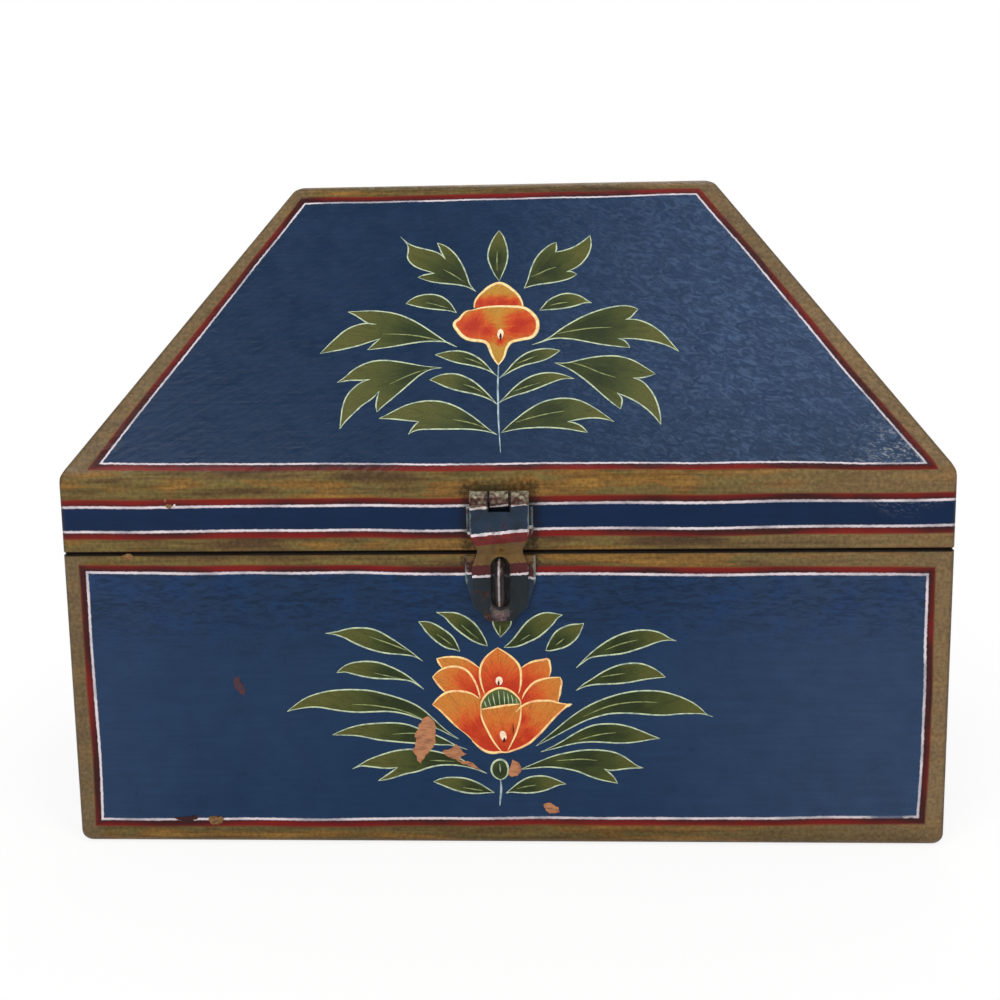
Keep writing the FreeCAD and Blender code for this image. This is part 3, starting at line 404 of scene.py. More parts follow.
def bare_iron(name, dark, light, rust, rough, highlight_at):
    """Forged iron bar and nails: dark brown grey metal with specks of rust, and a painted highlight: a
    pale streak along a line at x millimetres, given by the last argument."""
    made, add, mm = material(name)
    fine = add("TexNoise", mm, Scale=1 / 0.9, Detail=6.0)
    blot = add("TexNoise", mm, Scale=1 / 3, Detail=5.0)
    iron = add("ValToRGB", fine, ramp=((0.35, dark), (0.65, light)))
    rusty = add("MapRange", blot, 0.5, 0.62, 0.0, rust)
    colour = add("Mix RGBA", rusty, iron, "#5a3020")
    x = add("SeparateXYZ", mm)
    # A pale streak of painted highlight along the bar.
    wear_and_highlight = add("MULTIPLY_ADD", blot, -1.0, add("ABSOLUTE", add("SUBTRACT", x, highlight_at)))
    wear_and_highlight = add("MapRange", wear_and_highlight, -0.3, 0.05, 0.8, 0.0)
    colour = add("Mix RGBA", wear_and_highlight, colour, "#a09496")
    metal = add("MapRange", rusty, 0.0, 1.0, 0.15, 0.0)
    dull = add("MapRange", rusty, 0.0, 1.0, rough, 0.8)
    bump = add("Bump", Strength=0.25, Distance=0.0002, Height=blot)
    shader = add("BsdfPrincipled", Base_Color=colour, Metallic=metal, Roughness=dull, Normal=bump,
                 Specular_IOR_Level=0.4)
    add("OutputMaterial", shader)
    return made


STRAP_IRON = painted_iron("painted_strap_iron", (-0.06, 0.0), 160.0, 11.8, "#07161e")
LEAF_IRON = painted_iron("painted_leaf_iron", (-0.06, 0.0), 142.0, 13.0, "#0e2233")
PLATE_IRON = painted_iron("painted_plate_iron", (0.078, 0.7), 113.0, 13.8, "#14293f")
BAR_IRON = bare_iron("forged_iron_bar", "#120e0c", "#221c1a", 0.15, 0.3, -0.9)
NAIL_IRON = bare_iron("rusty_nail_iron", "#2b2421", "#5d534c", 0.9, 0.5, 900.0)


def hinge_iron():
    """Sheet iron hinges at the back, painted over with the boards' own borders, and rubbed."""
    made, add, mm = material("painted_hinge_iron")
    layout = add("Group", out="all", node_tree=LAYOUT)
    fine = add("TexNoise", mm, Scale=1 / 1.2, Detail=6.0)
    blot = add("TexNoise", mm, Scale=1 / 5, Detail=5.0)
    ragged = add("SUBTRACT", fine, 0.5)
    line = add("MapRange", add("MULTIPLY_ADD", ragged, 0.8, layout["field"]), -8.0, 2.0)
    stripes = add("ValToRGB", line, ramp=((0.0, "#66542f"), (0.41, "#6a1a18"), (0.67, "#ddd3d6"),
                                          (0.8, "#1b3353")))
    stripes.node.color_ramp.interpolation = "CONSTANT"
    rust = add("ValToRGB", fine, ramp=((0.36, "#1f1714"), (0.5, "#4b2c22"), (0.66, "#8a7d74")))
    wear = add("MapRange", blot, 0.52, 0.6)
    colour = add("Mix RGBA", wear, stripes, rust)
    metal = add("MULTIPLY", wear, 0.55)
    bump = add("Bump", Strength=0.5, Distance=0.0004, Height=blot)
    shader = add("BsdfPrincipled", Base_Color=colour, Metallic=metal, Roughness=0.45, Normal=bump)
    add("OutputMaterial", shader)
    return made


HINGE_IRON = hinge_iron()

# Which finish each piece of the box has.
for name, piece in nodes.items():
    if "nail" in name or "tack" in name:
        finish = NAIL_IRON
    elif name == "staple" or name.endswith("_pin"):
        finish = BAR_IRON
    elif "hinge" in name:
        finish = HINGE_IRON
    elif name == "hasp_strap":
        finish = STRAP_IRON
    elif name == "staple_plate":
        finish = PLATE_IRON
    elif name.startswith("hasp"):
        finish = LEAF_IRON
    elif name in ("left_end_board", "right_end_board", "lid_left_rail", "lid_right_rail",
                  "lid_left_slope", "lid_right_slope"):
        finish = BOARD_END
    else:
        finish = BOARD_LONG
    piece.data.materials.clear()
    piece.data.materials.append(finish)


# Brush work.
def brush_finish(name, colours, streak_depth, dark_hairs):
    """Thick hand paint of one petal or leaf, shaded wet in wet from its edge to its heart, with the
    marks of the brush's hairs along it and fine dark strokes over it."""
    made, add, mm = material(name)
    mark = add("Attribute", out="Vector", attribute_name="brush")
    shade, across, _ = add("SeparateXYZ", mark, out="all")
    fine = add("TexNoise", mm, Scale=1 / 0.8, Detail=5.0)
    soft = add("TexNoise", mm, Scale=1 / 5, Detail=3.0)
    hairs = add("CombineXYZ", across, shade)
    wide = add("TexNoise", hairs, Scale=1 / 0.9, Detail=4.0)
    thin = add("TexNoise", hairs, Scale=1 / 0.3, Detail=2.0)
    level = add("SUBTRACT", add("ADD", wide, soft), 1.0)
    level = add("MULTIPLY_ADD", level, streak_depth, shade)
    body = add("ValToRGB", level, ramp=zip((0.05, 0.3, 0.58, 0.85), colours))
    tone = add("MapRange", fine, 0.3, 0.7, 0.84, 1.14)
    dark = add("MapRange", thin, 0.52, 0.66, 1.0, dark_hairs)
    tone = add("MULTIPLY", tone, dark)
    colour = add("Mix RGBA", 1.0, body, tone, blend_type="MULTIPLY")
    bump = add("Bump", Strength=0.3, Distance=0.0003, Height=thin)
    shader = add("BsdfPrincipled", Base_Color=colour, Roughness=0.42, Normal=bump, IOR=1.48,
                 Specular_IOR_Level=0.2)
    add("OutputMaterial", shader)
    return made


def liner_paint(name, main, faded_and_sheen, size=2.5, stretch=1.0):
    """Opaque paint laid with a liner brush: full where the brush pressed, thin and greyed elsewhere,
    in patches of the given size in millimetres, drawn out along the board by 1 / stretch."""
    made, add, mm = material(name)
    mm = add("Mapping", mm, Scale=(stretch, 1.0, 1.0))
    fine = add("TexNoise", mm, Scale=1 / size, Detail=6.0)
    body = add("ValToRGB", fine, ramp=((0.34, faded_and_sheen), (0.56, main)))
    shader = add("BsdfPrincipled", Base_Color=body, Roughness=0.5, IOR=1.48,
                 Specular_IOR_Level=0.2)
    add("OutputMaterial", shader)
    return made


LEAF = brush_finish("leaf_green_oil_paint", ("#4c4d20", "#43471c", "#343c16", "#212c0f"), 0.45, 0.78)
PETAL = brush_finish("petal_orange_oil_paint", ("#ba722c", "#c16626", "#c14c1b", "#b02d0f"), 0.55, 0.7)
LID_PETAL = brush_finish("petal_amber_oil_paint", ("#a97b2b", "#b36d22", "#b84414", "#a5280c"), 0.5, 0.72)
DOME = brush_finish("seed_green_oil_paint", ("#4f5e2a", "#46552a", "#37471f", "#2a3a16"), 0.3, 0.8)
BUD = brush_finish("bud_green_oil_paint", ("#32401b", "#2a3815", "#222e10", "#1b260c"), 0.3, 0.8)
PALE_LINE = liner_paint("pale_green_liner_paint", "#b9c5a3", "#82928a")
CREAM_LINE = liner_paint("cream_liner_paint", "#edcf8e", "#e09c70")
LID_CREAM = liner_paint("straw_liner_paint", "#e6d09a", "#d9b070", 1.6)
RIB_LINE = liner_paint("rib_liner_paint", "#8c9560", "#5a6640")
STEM_LINE = liner_paint("stem_liner_paint", "#a3b6b9", "#667b86")
DARK_DROP = liner_paint("dark_red_liner_paint", "#4a0a08", "#2c0708")
CHIP = liner_paint("bare_red_primer", "#a97350", "#80543c", 1.0, 0.25)
BARE = liner_paint("bare_pale_wood", "#7b5a37", "#54391f", 0.8, 0.4)
SMEAR = liner_paint("thin_red_smear", "#4d2a28", "#2b2d42", 0.9)
DARK_SMEAR = liner_paint("dark_smear_paint", "#35100f", "#241312", 0.9)
IVORY = liner_paint("ivory_dab_paint", "#ecd6ba", "#d9a98a", 1.2)
WHITE_DAB = liner_paint("white_dab_paint", "#d6ccce", "#b09a94", 1.2)

# Where a sketch of brush work lies on the box: its x along the front, its y up the board.
CASE_FACE = Matrix(((0.989, 0.003, 0, 0.0002), (0, 0, -1, -0.12), (0.0006, 0.985, 0, 0.002), (0, 0, 0, 1)))
PLAIN_FACE = Matrix(((1, 0, 0, 0), (0, 0, -1, -0.12), (0, 1, 0, 0), (0, 0, 0, 1)))
SLOPE_FACE = Matrix(((1, 0, 0, 0.00066), (0, INSET / SLOPE, -RISE / SLOPE, -0.12),
                     (0, RISE / SLOPE, INSET / SLOPE, 0.153), (0, 0, 0, 1)))
SLOPE_FACE = SLOPE_FACE @ Matrix.Rotation(-0.0052, 4, "Z")
# The frayed edges of the small films are the same on every run.
noise.seed_set(5)


def closed(outline):
    """The sides of an outline, each running on to the next one's first point."""
    return [side + [outline[(i + 1) % len(outline)][0]] for i, side in enumerate(outline)]


def meshed(curve):
    """The mesh of a curve, with the curve and its object taken away."""
    bearer = bpy.data.objects.new("brush", curve)
    bpy.context.scene.collection.objects.link(bearer)
    mesh = bpy.data.meshes.new_from_object(bearer.evaluated_get(bpy.context.evaluated_depsgraph_get()))
    bpy.data.objects.remove(bearer)
    bpy.data.curves.remove(curve)
    return mesh


def fills(name, shapes, face, lift, finish, body, torn=0.0):
    """Flat films of paint, each a little above the last. A shape is its outline and the hearts
    (x, y, reach) where it is deepest. torn is how far, in millimetres, its edge is frayed."""
    whole = bmesh.new()
    for number, (outline, hearts) in enumerate(shapes):
        curve = bpy.data.curves.new("film", "CURVE")
        curve.dimensions = "2D"
        curve.fill_mode = "FRONT"
        curve.resolution_u = 5
        points = [point for side in outline for point in side]
        corners = [side[0] for side in outline]
        spline = curve.splines.new("BEZIER")
        spline.bezier_points.add(len(points) - 1)
        spline.use_cyclic_u = True
        for knot, (x, y) in zip(spline.bezier_points, points):
            knot.co = (x / 1000, y / 1000, 0)
            bend = "VECTOR" if (x, y) in corners else "AUTO"
            knot.handle_left_type = bend
            knot.handle_right_type = bend
        mesh = meshed(curve)
        film = bmesh.new()
        film.from_mesh(mesh)
        bpy.data.meshes.remove(mesh)
        bmesh.ops.remove_doubles(film, verts=film.verts[:], dist=1e-6)
        xs = [v.co.x for v in film.verts]
        ys = [v.co.y for v in film.verts]
        step = 0.0005 if torn else 0.0015
        spans = ((Vector((1, 0, 0)), min(xs), max(xs)), (Vector((0, 1, 0)), min(ys), max(ys)))
        for axis, low, high in spans:
            for k in range(1, math.ceil((high - low) / step)):
                bmesh.ops.bisect_plane(film, geom=film.verts[:] + film.edges[:] + film.faces[:],
                                       plane_co=axis * (low + k * step), plane_no=axis)
        bmesh.ops.triangulate(film, faces=film.faces[:])
        for vert in film.verts if torn else ():
            if vert.is_boundary:
                wander = noise.noise_vector(vert.co * 700) * torn / 1000
                vert.co += Vector((wander.x, wander.y, 0))
        mark = film.verts.layers.float_vector.new("brush")
        root = Vector((hearts[0][0], hearts[0][1], 0)) / 1000
        for vert in film.verts:
            away = vert.co - root
            shade = max(1 - math.hypot(vert.co.x * 1000 - x, vert.co.y * 1000 - y) / reach
                        for x, y, reach in hearts)
            across = math.atan2(away.y, away.x) * 9 + number * 40
            vert[mark] = (max(0, shade), across, 0)
        film.transform(Matrix.Translation((0, 0, (lift + number * 0.003) / 1000)))
        mesh = bpy.data.meshes.new("film")
        film.to_mesh(mesh)
        film.free()
        whole.from_mesh(mesh)
        bpy.data.meshes.remove(mesh)
    return finished(name, whole, face, finish, body)


def strokes(name, lines, face, lift, finish, body):
    """Raised lines of a liner brush. Each is its points and its half width in millimetres; it starts
    and ends thin."""
    curve = bpy.data.curves.new("liner", "CURVE")
    curve.dimensions = "3D"
    curve.bevel_depth = 0.001
    curve.bevel_resolution = 1
    curve.resolution_u = 4
    curve.use_fill_caps = True
    for points, width in lines:
        spline = curve.splines.new("BEZIER")
        spline.bezier_points.add(len(points) - 1)
        for i, (knot, (x, y)) in enumerate(zip(spline.bezier_points, points)):
            knot.co = (x / 1000, y / 1000, 0)
            knot.handle_left_type = "AUTO"
            knot.handle_right_type = "AUTO"
            knot.radius = width * (1 - 0.7 * abs(2 * i / (len(points) - 1) - 1) ** 2.5)
    mesh = meshed(curve)
    whole = bmesh.new()
    whole.from_mesh(mesh)
    bpy.data.meshes.remove(mesh)
    bmesh.ops.remove_doubles(whole, verts=whole.verts[:], dist=1e-6)
    whole.transform(Matrix.Translation((0, 0, lift / 1000)) @ Matrix.Diagonal((1, 1, 0.3, 1)))
    bmesh.ops.recalc_face_normals(whole, faces=whole.faces[:])
    return finished(name, whole, face, finish, body)


def finished(name, whole, face, finish, body):
    """Puts brush work on its face of the box and makes it ride with its body."""
    whole.transform(face)
    mesh = bpy.data.meshes.new(name)
    whole.to_mesh(mesh)
    whole.free()
    mesh.materials.append(finish)
    piece = bpy.data.objects.new(name, mesh)
    bpy.context.scene.collection.objects.link(piece)
    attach(piece, body)
    return piece


def sketch(text):
    """Brush work written as points x,y in millimetres. A slash parts the sides of an outline at its
    corners, a bar the parts of one piece, and a semicolon the pieces."""
    return [[[[tuple(map(float, point.split(","))) for point in side.split()] for side in part.split("/")]
             for part in piece.split("|")] for piece in text.split(";")]


def leaves_of(text):
    """Each leaf as its base, its outline and its rib."""
    return [(base[0][0], outline, rib[0]) for base, outline, rib in sketch(text)]


def shapes_of(text):
    """Each film of paint as its outline and its hearts x,y,reach."""
    return [(outline, hearts[0]) for outline, hearts in sketch(text)]


def lines_of(text):
    """Each stroke as its points and its half width."""
    return [(stroke[0], width[0][0][0]) for stroke, width in sketch(text)]


# Leaves on the case.
CASE_LEAVES = leaves_of("""
    -32.8,76.8 | -72,88.6 -67,89.3 -63.3,90.3 -58.3,90.8 -52,90 -45.8,86.6 -38.3,81.3 / -32.8,76.8
    -35.8,78.6 -40,79.5 -45.8,80 -50.8,80.9 -55.8,82.5 -60.8,84.8 -64.5,86.8 -68.3,88.1 | -54.2,87.2
    -48.3,85 -42.6,82.8 -38.3,80.9 ;
    -32.6,65 | -67.8,72 -65.8,74 -62.6,75.8 -58.3,76.6 -53.9,76.7 -49.5,75.9 -45.8,74.4 -42,72.5 -38.3,70
    -35.4,67.5 / -32.6,65 -35.4,67 -37.6,68.3 -40.8,69 -45.8,69.4 -51.4,69.6 -56.4,70.3 -60.8,71.4
    -64.5,72.3 | -52.6,71.9 -45.8,70.3 -36.4,68.1 ;
    -18.9,43.9 | -88.6,55.6 -85.1,58.4 -80.8,61.3 -76.4,63 -70.8,64.3 -65,64.8 -59.5,64.8 -54.5,64.4
    -48.9,63.1 -43.3,61.4 -38.3,59.5 -33.9,56.9 -29.5,53 -24.5,48.1 / -18.9,43.9 -21.4,45.1 -25.8,47.5
    -28.9,49 -33.3,51.9 -37,53.4 -42,54.9 -47,55.6 -53.3,55.5 -59.5,55.3 -65.8,55.8 -70.8,56.6 -74.5,57.3
    -78.3,57.5 -82,57.1 -85.8,56.4 | -62,58.6 -55.8,58.4 -48.9,57.5 -43.3,56.4 -38.3,54.7 -33.6,52.5 ;
    -15.4,39.4 | -70.4,45.6 -67,47.2 -63.3,48.6 -58.9,49.8 -53.9,50.4 -48.3,50.7 -43.3,50.6 -38.9,49.8
    -35.8,48.6 -28.3,45.6 -23.9,43.4 -19.5,40.9 / -15.4,39.4 -22,41.3 -26.4,41.4 -28.9,41.6 -37,42.1
    -42,42.5 -47,43 -52,43.6 -57,44.7 -60.8,45.3 -65.1,45.5 | -45.8,45.9 -37,46.3 -29,44.9 ;
    -7.6,29.1 | -62.6,31 -59.5,32.8 -56.4,34.7 -52.6,36.3 -48.3,37.8 -44.5,38.8 -40,39.4 -34.5,39.4
    -29.5,38.8 -26.4,38.1 -20,36.3 -15.8,33.8 -11.4,31.3 / -7.6,29.1 -13.3,31.3 -17.6,32.3 -22.6,32.8
    -27.6,32.5 -32,31.4 -35.8,30 -40.8,28.9 -45,27.5 -48.9,26.4 / -52.2,25.9 -48.9,28.1 -45.8,30.3 /
    -44,31.7 -48.3,31.3 -54.5,31.9 -59.5,32.2 | -30.8,34.7 -26.4,34.6 -20.8,34.3 ;
    -4.7,20.9 | -29.5,25.6 -26.5,26.8 -23.8,27.3 -20.6,27.4 -16.5,27 -12.9,25.8 -9.7,24.2 -7,22.4 /
    -4.7,20.9 -7.5,20.8 -11.5,20.5 -15.2,20.7 -18.8,21.4 -22,22.4 -25.2,23.8 -27.9,24.9 | -17.5,23.1
    -12.9,22.3 -9.3,21.8 ;
    -6.7,83.1 | -27,97.2 -23.3,97.1 -19.5,96.9 -16.4,95.8 -13.3,93.8 -10.8,91.3 -8.6,87.8 -7.3,85 /
    -6.7,83.1 -9.5,83.9 -12.6,85.3 -15.8,87.5 -18.9,90 -21.4,92.5 -23.9,95.3 | -17,91.9 -13.9,89 -10.1,85.9
    ;
    -17.8,80.9 | -34.2,93.3 -31.1,93.3 -28.3,92.5 -25.1,90.6 -22.6,88.8 -20.4,86.6 -19,84 / -17.8,80.9
    -20.1,81.7 -22.6,82.2 -25.8,84 -28.9,86.6 -31.4,89.4 -33.3,92.2 | -27,88.1 -23.9,85.9 -20.8,83.4 ;
    -1.5,96.5 | -1.5,86.8 -3.2,89.6 -4.4,92.8 -4.2,96 -3,98.6 / -1.2,101 0.8,98.6 2.4,95.6 2.8,92.5 1,89.4 |
    -1.6,87.8 -1.6,89.9 -1.6,91.9 ;
    -0.1,82.5 | -0.1,82.5 2.1,84.4 4.6,87.2 7.1,90.6 9.6,93.4 12.8,95.6 16.5,96.8 19.6,96.6 / 23.3,95.9
    21.5,94.7 19.3,91.9 16.5,89.1 13.4,86.6 9.6,84.7 5.9,83.1 3.4,82.6 | 6.5,85.3 8.4,86.5 10.3,87.8 ;
    16.6,81.1 | 16.6,81.1 17.4,83.4 19,86.6 20.9,89.1 23.7,90.8 27.1,91.9 29.9,92.1 / 31.8,92.4 30.9,90
    29.6,87.2 27.1,84.4 24,82.5 20.9,81.6 18.4,81.1 | 20.6,83.4 22.3,84.7 24,86.1 ;
    28.7,73.9 | 28.7,73.9 31.5,76.9 34.6,80 38.4,83.1 42.1,85.6 45.9,87.5 50.3,88.9 54.6,89.5 59,89.2
    62.8,88 65.9,86.1 / 68.5,85 64.6,85.3 60.3,84.3 56.5,82.8 52.1,81.3 47.8,80 42.8,79.3 37.8,78.8 34,77.9
    31.2,75.9 | 40.3,81.3 46.5,83.8 53.4,85.5 ;
    28.7,64.4 | 28.7,64.4 31.5,66.9 35.3,69.4 39,71.9 43.4,74.1 47.1,75.3 51.5,75.8 55.3,75.4 59,73.9
    62.1,71.9 / 64.3,69.9 60.3,69.6 55.3,68.9 50.3,67.9 45.3,67.3 40.3,67.1 35.3,66.8 31.5,65.8 | 38.4,70.1
    43.4,70.9 48.4,71.6 ;
    12.4,40.9 | 12.4,40.9 15.9,44 20.3,47.8 24.6,51.6 29,55 33.4,57.8 37.8,60 42.8,61.9 47.8,63.3 52.8,64.1
    57.8,64.3 62.8,63.9 67.8,62.6 72.1,60.9 75.9,58.8 79,56.3 80.9,54.4 / 83.3,53.3 79.6,54.5 75.3,54.7
    70.3,54.6 65.3,54.1 60.3,54.1 54,54.6 47.8,54.9 42.1,54.6 37.8,53.6 32.8,51.9 27.8,49.4 22.8,46.6
    17.8,43.8 | 31.5,53.4 37.8,56.3 42.8,58.1 47.8,59.1 54,59.6 61.2,59.4 ;
    14.3,38.4 | 14.3,38.4 18.4,40.3 22.8,42.8 27.1,45.6 31.5,48.1 35.9,49.8 40.3,50.3 44.6,50.2 49,49.4
    53.4,47.9 57.1,46.3 60.3,44.9 / 62.3,44.2 59,43.8 54.6,43 50.3,42.4 45.3,42.2 40.3,42.5 35.3,42.7
    30.3,42.4 25.3,41.4 20.3,40 | 29.6,43.4 34.6,45 39.6,46.1 44.6,46.6 ;
    6.2,30.9 | 6.2,30.9 9.6,32.5 14.6,34.7 20.3,36.9 25.3,38.1 30.3,39 34.6,39.3 39,39.1 43.4,38.4 47.1,36.9
    50.3,34.7 53.4,32.5 / 55.8,31.6 52.1,31.6 47.1,31.1 42.8,30.6 / 39.9,31.2 41.8,29.7 43.7,27.8 / 45.4,25
    42.8,25.6 38.4,26.6 34,28.1 29.6,30 25.3,31.1 20.3,31.8 15.3,31.9 10.3,31.4 | 20.3,34.6 26.5,35.1
    31.5,35.3 37.1,34.8 ;
    0,20.6 | 0,20.6 2.8,23.1 5.9,25.6 9,27.3 13.4,28.1 17.1,27.8 20.9,26.4 / 24.5,24.6 21.5,24.2 17.8,22.6
    14,21.4 9.6,20.8 5.3,20.9 1.5,21.1 | 4.6,22.6 8.4,23.6 12.4,24.2
""")

# Leaves on the lid's front slope, up the slope from the band.
LID_LEAVES = leaves_of("""
    -12,85 | -44.8,113.6 -41.8,110.3 -38,108.2 -33.5,106.8 -30,105.6 -27.8,104.4 / -25.2,101.6 -26.6,104.2
    -27.8,107.2 / -29,110.2 -25.4,108.4 -22.2,105.4 -19.6,101.6 -17.4,97 -15.8,92.4 -14.6,88.6 / -12,85
    -14.8,87 -18,88.2 -22,88.9 -27.4,89.6 -32,90.6 / -36.6,92.6 -34.4,93.6 -32,94.1 / -29.6,94.5 -32.4,95.6
    -36,97 -39.6,99.6 -41.4,103 -41.2,106.4 -41.8,109.6 | -26,96.4 -22,93.8 -16.6,89.6 ;
    -19.8,74.6 | -41,79.4 -38.8,81.6 -35.8,83.2 -31.6,83.9 -28,83.4 -25,81.8 -22.6,79.4 -21,76.8 /
    -19.8,74.6 -22.6,75.6 -26.6,76.2 -31,76.8 -35,77.6 -38.4,78.6 | -33,79.9 -29,78.9 -23.4,77 ;
    -19.2,58 | -75.2,55.4 -72.4,59 -69,63 -65.4,66.6 -61,69 -57,69.8 / -52.8,69.4 -56,69.8 -59,71.8 -62,74 /
    -65,75.6 -61,75.8 -55.6,76 -50.6,75.6 -45,74.4 -39.8,72.2 -34.6,69 -29.6,65.2 -25.4,61.9 -22.4,59.6 /
    -19.2,58 -23,60.2 -27,60.8 -32,60.8 -38,60 -44,58.8 -50,57.8 / -55.8,57 -53.6,59.6 / -50.8,62.4 -54.6,61
    -60,59 -66,57.4 -70.6,56.4 | -50,64.6 -43,64.4 -36,63.6 -30,62.2 -25,60.8 ;
    -25,48.2 | -67.4,41.6 -64.4,44 -61.6,47 -58,49.6 -53.6,51.4 -49,51.9 -44,51.4 -38,50.2 -32,49 / -25,48.2
    -29.6,47.4 -33.4,45.2 -37,41.8 -41,37.6 -45.4,33.2 -48.4,30.2 / -50.4,27.8 -50.9,31 -50.6,34.4 /
    -50,37.4 -52.6,34.2 -56.6,30.8 -60,27 -62.8,23.6 / -64.8,20.2 -64.6,25.4 -64.2,31 -62.6,36 -60,39.4
    -57.4,41.6 / -54,43 -57.6,42.6 -62,42.6 | -46,40.6 -41.4,43.2 -36,45.8 -31,47.6 ;
    -2.4,43.8 | -28,54.4 -25,55.4 -21,56.1 -17,55.9 -13,54.4 -10,52.4 -7,49.4 -4.6,46.2 / -2.4,43.8 -5,46
    -8.6,47.8 -13,49.2 -17.6,50.2 -22,51.6 -25.4,53.2 | -16,52.8 -12.6,51.6 -8.6,49.6 ;
    -2.4,31 | -29.8,42.6 -27,44.2 -23.6,45.2 -19.4,45.2 -15.4,43.8 -12,41.6 -8.6,38.4 -5.4,34.8 / -2.4,31
    -5,33 -8.6,34.8 -13,36.2 -18,37.4 -22.6,39 -26.6,41 | -16,40.4 -12,38.8 -8,36.4 ;
    -2.2,17.2 | -49.4,24.9 -46,26.8 -42,29.2 -38,31.2 -33,32.5 -28,32.8 -23,31.9 -18.6,30 -14,27 -9.6,23.4
    -5.6,19.8 / -2.2,17.2 -5,18.4 -9.6,19.4 -15,19.9 -22,19.9 -29,19.9 -34.4,19.4 / -37.4,17.6 -36,20.2
    -34.6,22.2 / -33.4,23.4 -38,23.9 -43.6,24.6 | -20,24.2 -15.6,23.4 -11,22 -7,20.4 ;
    -2.4,90.2 | -2.8,116.2 -4.6,113.2 -6.2,109.4 -7.2,105.2 -7.2,101.4 -6.2,98 -4.6,94 / -2.4,90.2 -1,94
    0.4,98.4 1,102.4 0.8,106.4 -0.2,110.8 -1.4,114 | -3.4,105.6 -3.5,100.6 -3.3,95.4 ;
    8,86.4 | 8,86.4 9.4,90.2 10.6,95 11.8,99 13.8,103 16.8,106.6 19.2,108.6 / 21.4,109.7 21.6,107.4
    21.4,105.4 / 21,104.6 24.6,105.4 28.6,107 32,109.4 34.2,111.4 / 35.8,113 36.2,109 35.4,104.6 33.4,100.6
    30.2,97 / 25.8,94.6 27.8,94.6 / 30,93.2 27.4,91.4 23.6,90 18.6,89 13.4,88.2 10.4,87.4 | 11,92.2 15,94.2
    18,95.8 21.4,97 ;
    14.4,75.4 | 14.4,75.4 16,77.6 18,80.2 21,82.2 25,83.6 28.6,83.3 32,81.8 34.2,80 / 36,78.8 33.4,79
    30,77.8 25.6,76.6 20.6,75.9 17,75.7 | 18.6,77.8 22.4,78.8 26.4,79.4 ;
    11.4,58.8 | 11.4,58.8 15.4,60.4 19,62.6 23,66 28,69.6 33.4,72.8 39,75.2 44.6,76.8 49.6,77.3 52.8,76.6 /
    54.8,75.6 53,73.2 51.4,71.4 / 49.6,70.6 53,70.6 57.4,69.2 61.4,66.6 65,63 67.8,59 / 70.6,55 66.6,57.6
    61.6,59.6 56,60.8 51,61.4 / 46.2,61.4 48.6,60.6 50,59 / 51,57 46.4,57.6 40,58.6 33,60.2 26,61.6
    19.6,61.6 15,60 | 21.6,64 28,65.4 36,66.6 44,66.8 ;
    20.4,50.2 | 20.4,50.2 25,50 30.6,51.4 36,52.6 42,53.2 47,52.8 52,51 56.4,48 / 60.8,44.6 57.6,43.4
    54.6,42.8 / 51.8,42.8 55,41.4 58.2,37.6 60.4,33 61.6,28 62,24.6 / 62,21.4 59.6,25.2 56,29.2 51.6,32.6
    48,34.6 / 45.2,36 47,33.6 47,31 / 46.4,28.6 43.6,31 39.6,35 35.4,39.4 31,43.6 26,47.4 | 27.4,50.2
    33,48.2 39,45.2 45,43 ;
    -2,43 | -2,43 1,46.2 4,50.2 7.4,53.6 11.4,55.8 15.6,56.8 19.4,56.7 / 22.8,56 20.4,54 17,51.8 13,50.4
    8.6,49.2 4.4,47.2 1,45 | 5.4,50 9.4,51.8 13.6,53.8 ;
    -2,31.4 | -2,31.4 1,34.8 4.6,39 8.6,42.4 13,44.6 18,45.5 23,44.8 / 28.4,42.6 24,42.6 19.4,41 14.6,38.8
    9.4,36.6 4,34.8 0.6,33.2 | 4,37 9,39 14.8,41 ;
    -0.6,18.2 | -0.6,18.2 2.4,21.6 6,25 10,28.4 15,31.6 20,33.2 25,33.6 29.6,32.8 34,30.6 38.4,27.4 /
    43.8,22.8 39.6,24.2 35,24.6 30,24 / 25.4,23 28.6,22.2 31,20.8 / 33.4,18 29.6,18.8 24.6,19.8 18,20.4
    11,20.3 5,19.6 | 5,22.8 11,24.8 17.6,26.6 24.6,27.8
""")


def leaf_shapes(leaves):
    """Each leaf is darkest at its base and along the first part of its rib."""
    shapes = []
    for base, outline, rib in leaves:
        reach = max(math.dist(base, point) for side in outline for point in side)
        middle = rib[len(rib) // 2]
        shapes.append((outline, [(*base, reach * 0.8), (*middle, reach * 0.42)]))
    return shapes


fills("case_leaves", leaf_shapes(CASE_LEAVES), CASE_FACE, 0.05, LEAF, "case")
strokes("case_leaf_outlines", [(side, 0.33) for _, outline, _ in CASE_LEAVES for side in closed(outline)],
        CASE_FACE, 0.08, PALE_LINE, "case")
strokes("case_leaf_ribs", [(rib, 0.28) for _, _, rib in CASE_LEAVES], CASE_FACE, 0.09, RIB_LINE, "case")
fills("lid_leaves", leaf_shapes(LID_LEAVES), SLOPE_FACE, 0.05, LEAF, "lid")
strokes("lid_leaf_outlines", [(side, 0.33) for _, outline, _ in LID_LEAVES for side in closed(outline)],
        SLOPE_FACE, 0.08, PALE_LINE, "lid")
strokes("lid_leaf_ribs", [(rib, 0.28) for _, _, rib in LID_LEAVES], SLOPE_FACE, 0.09, RIB_LINE, "lid")

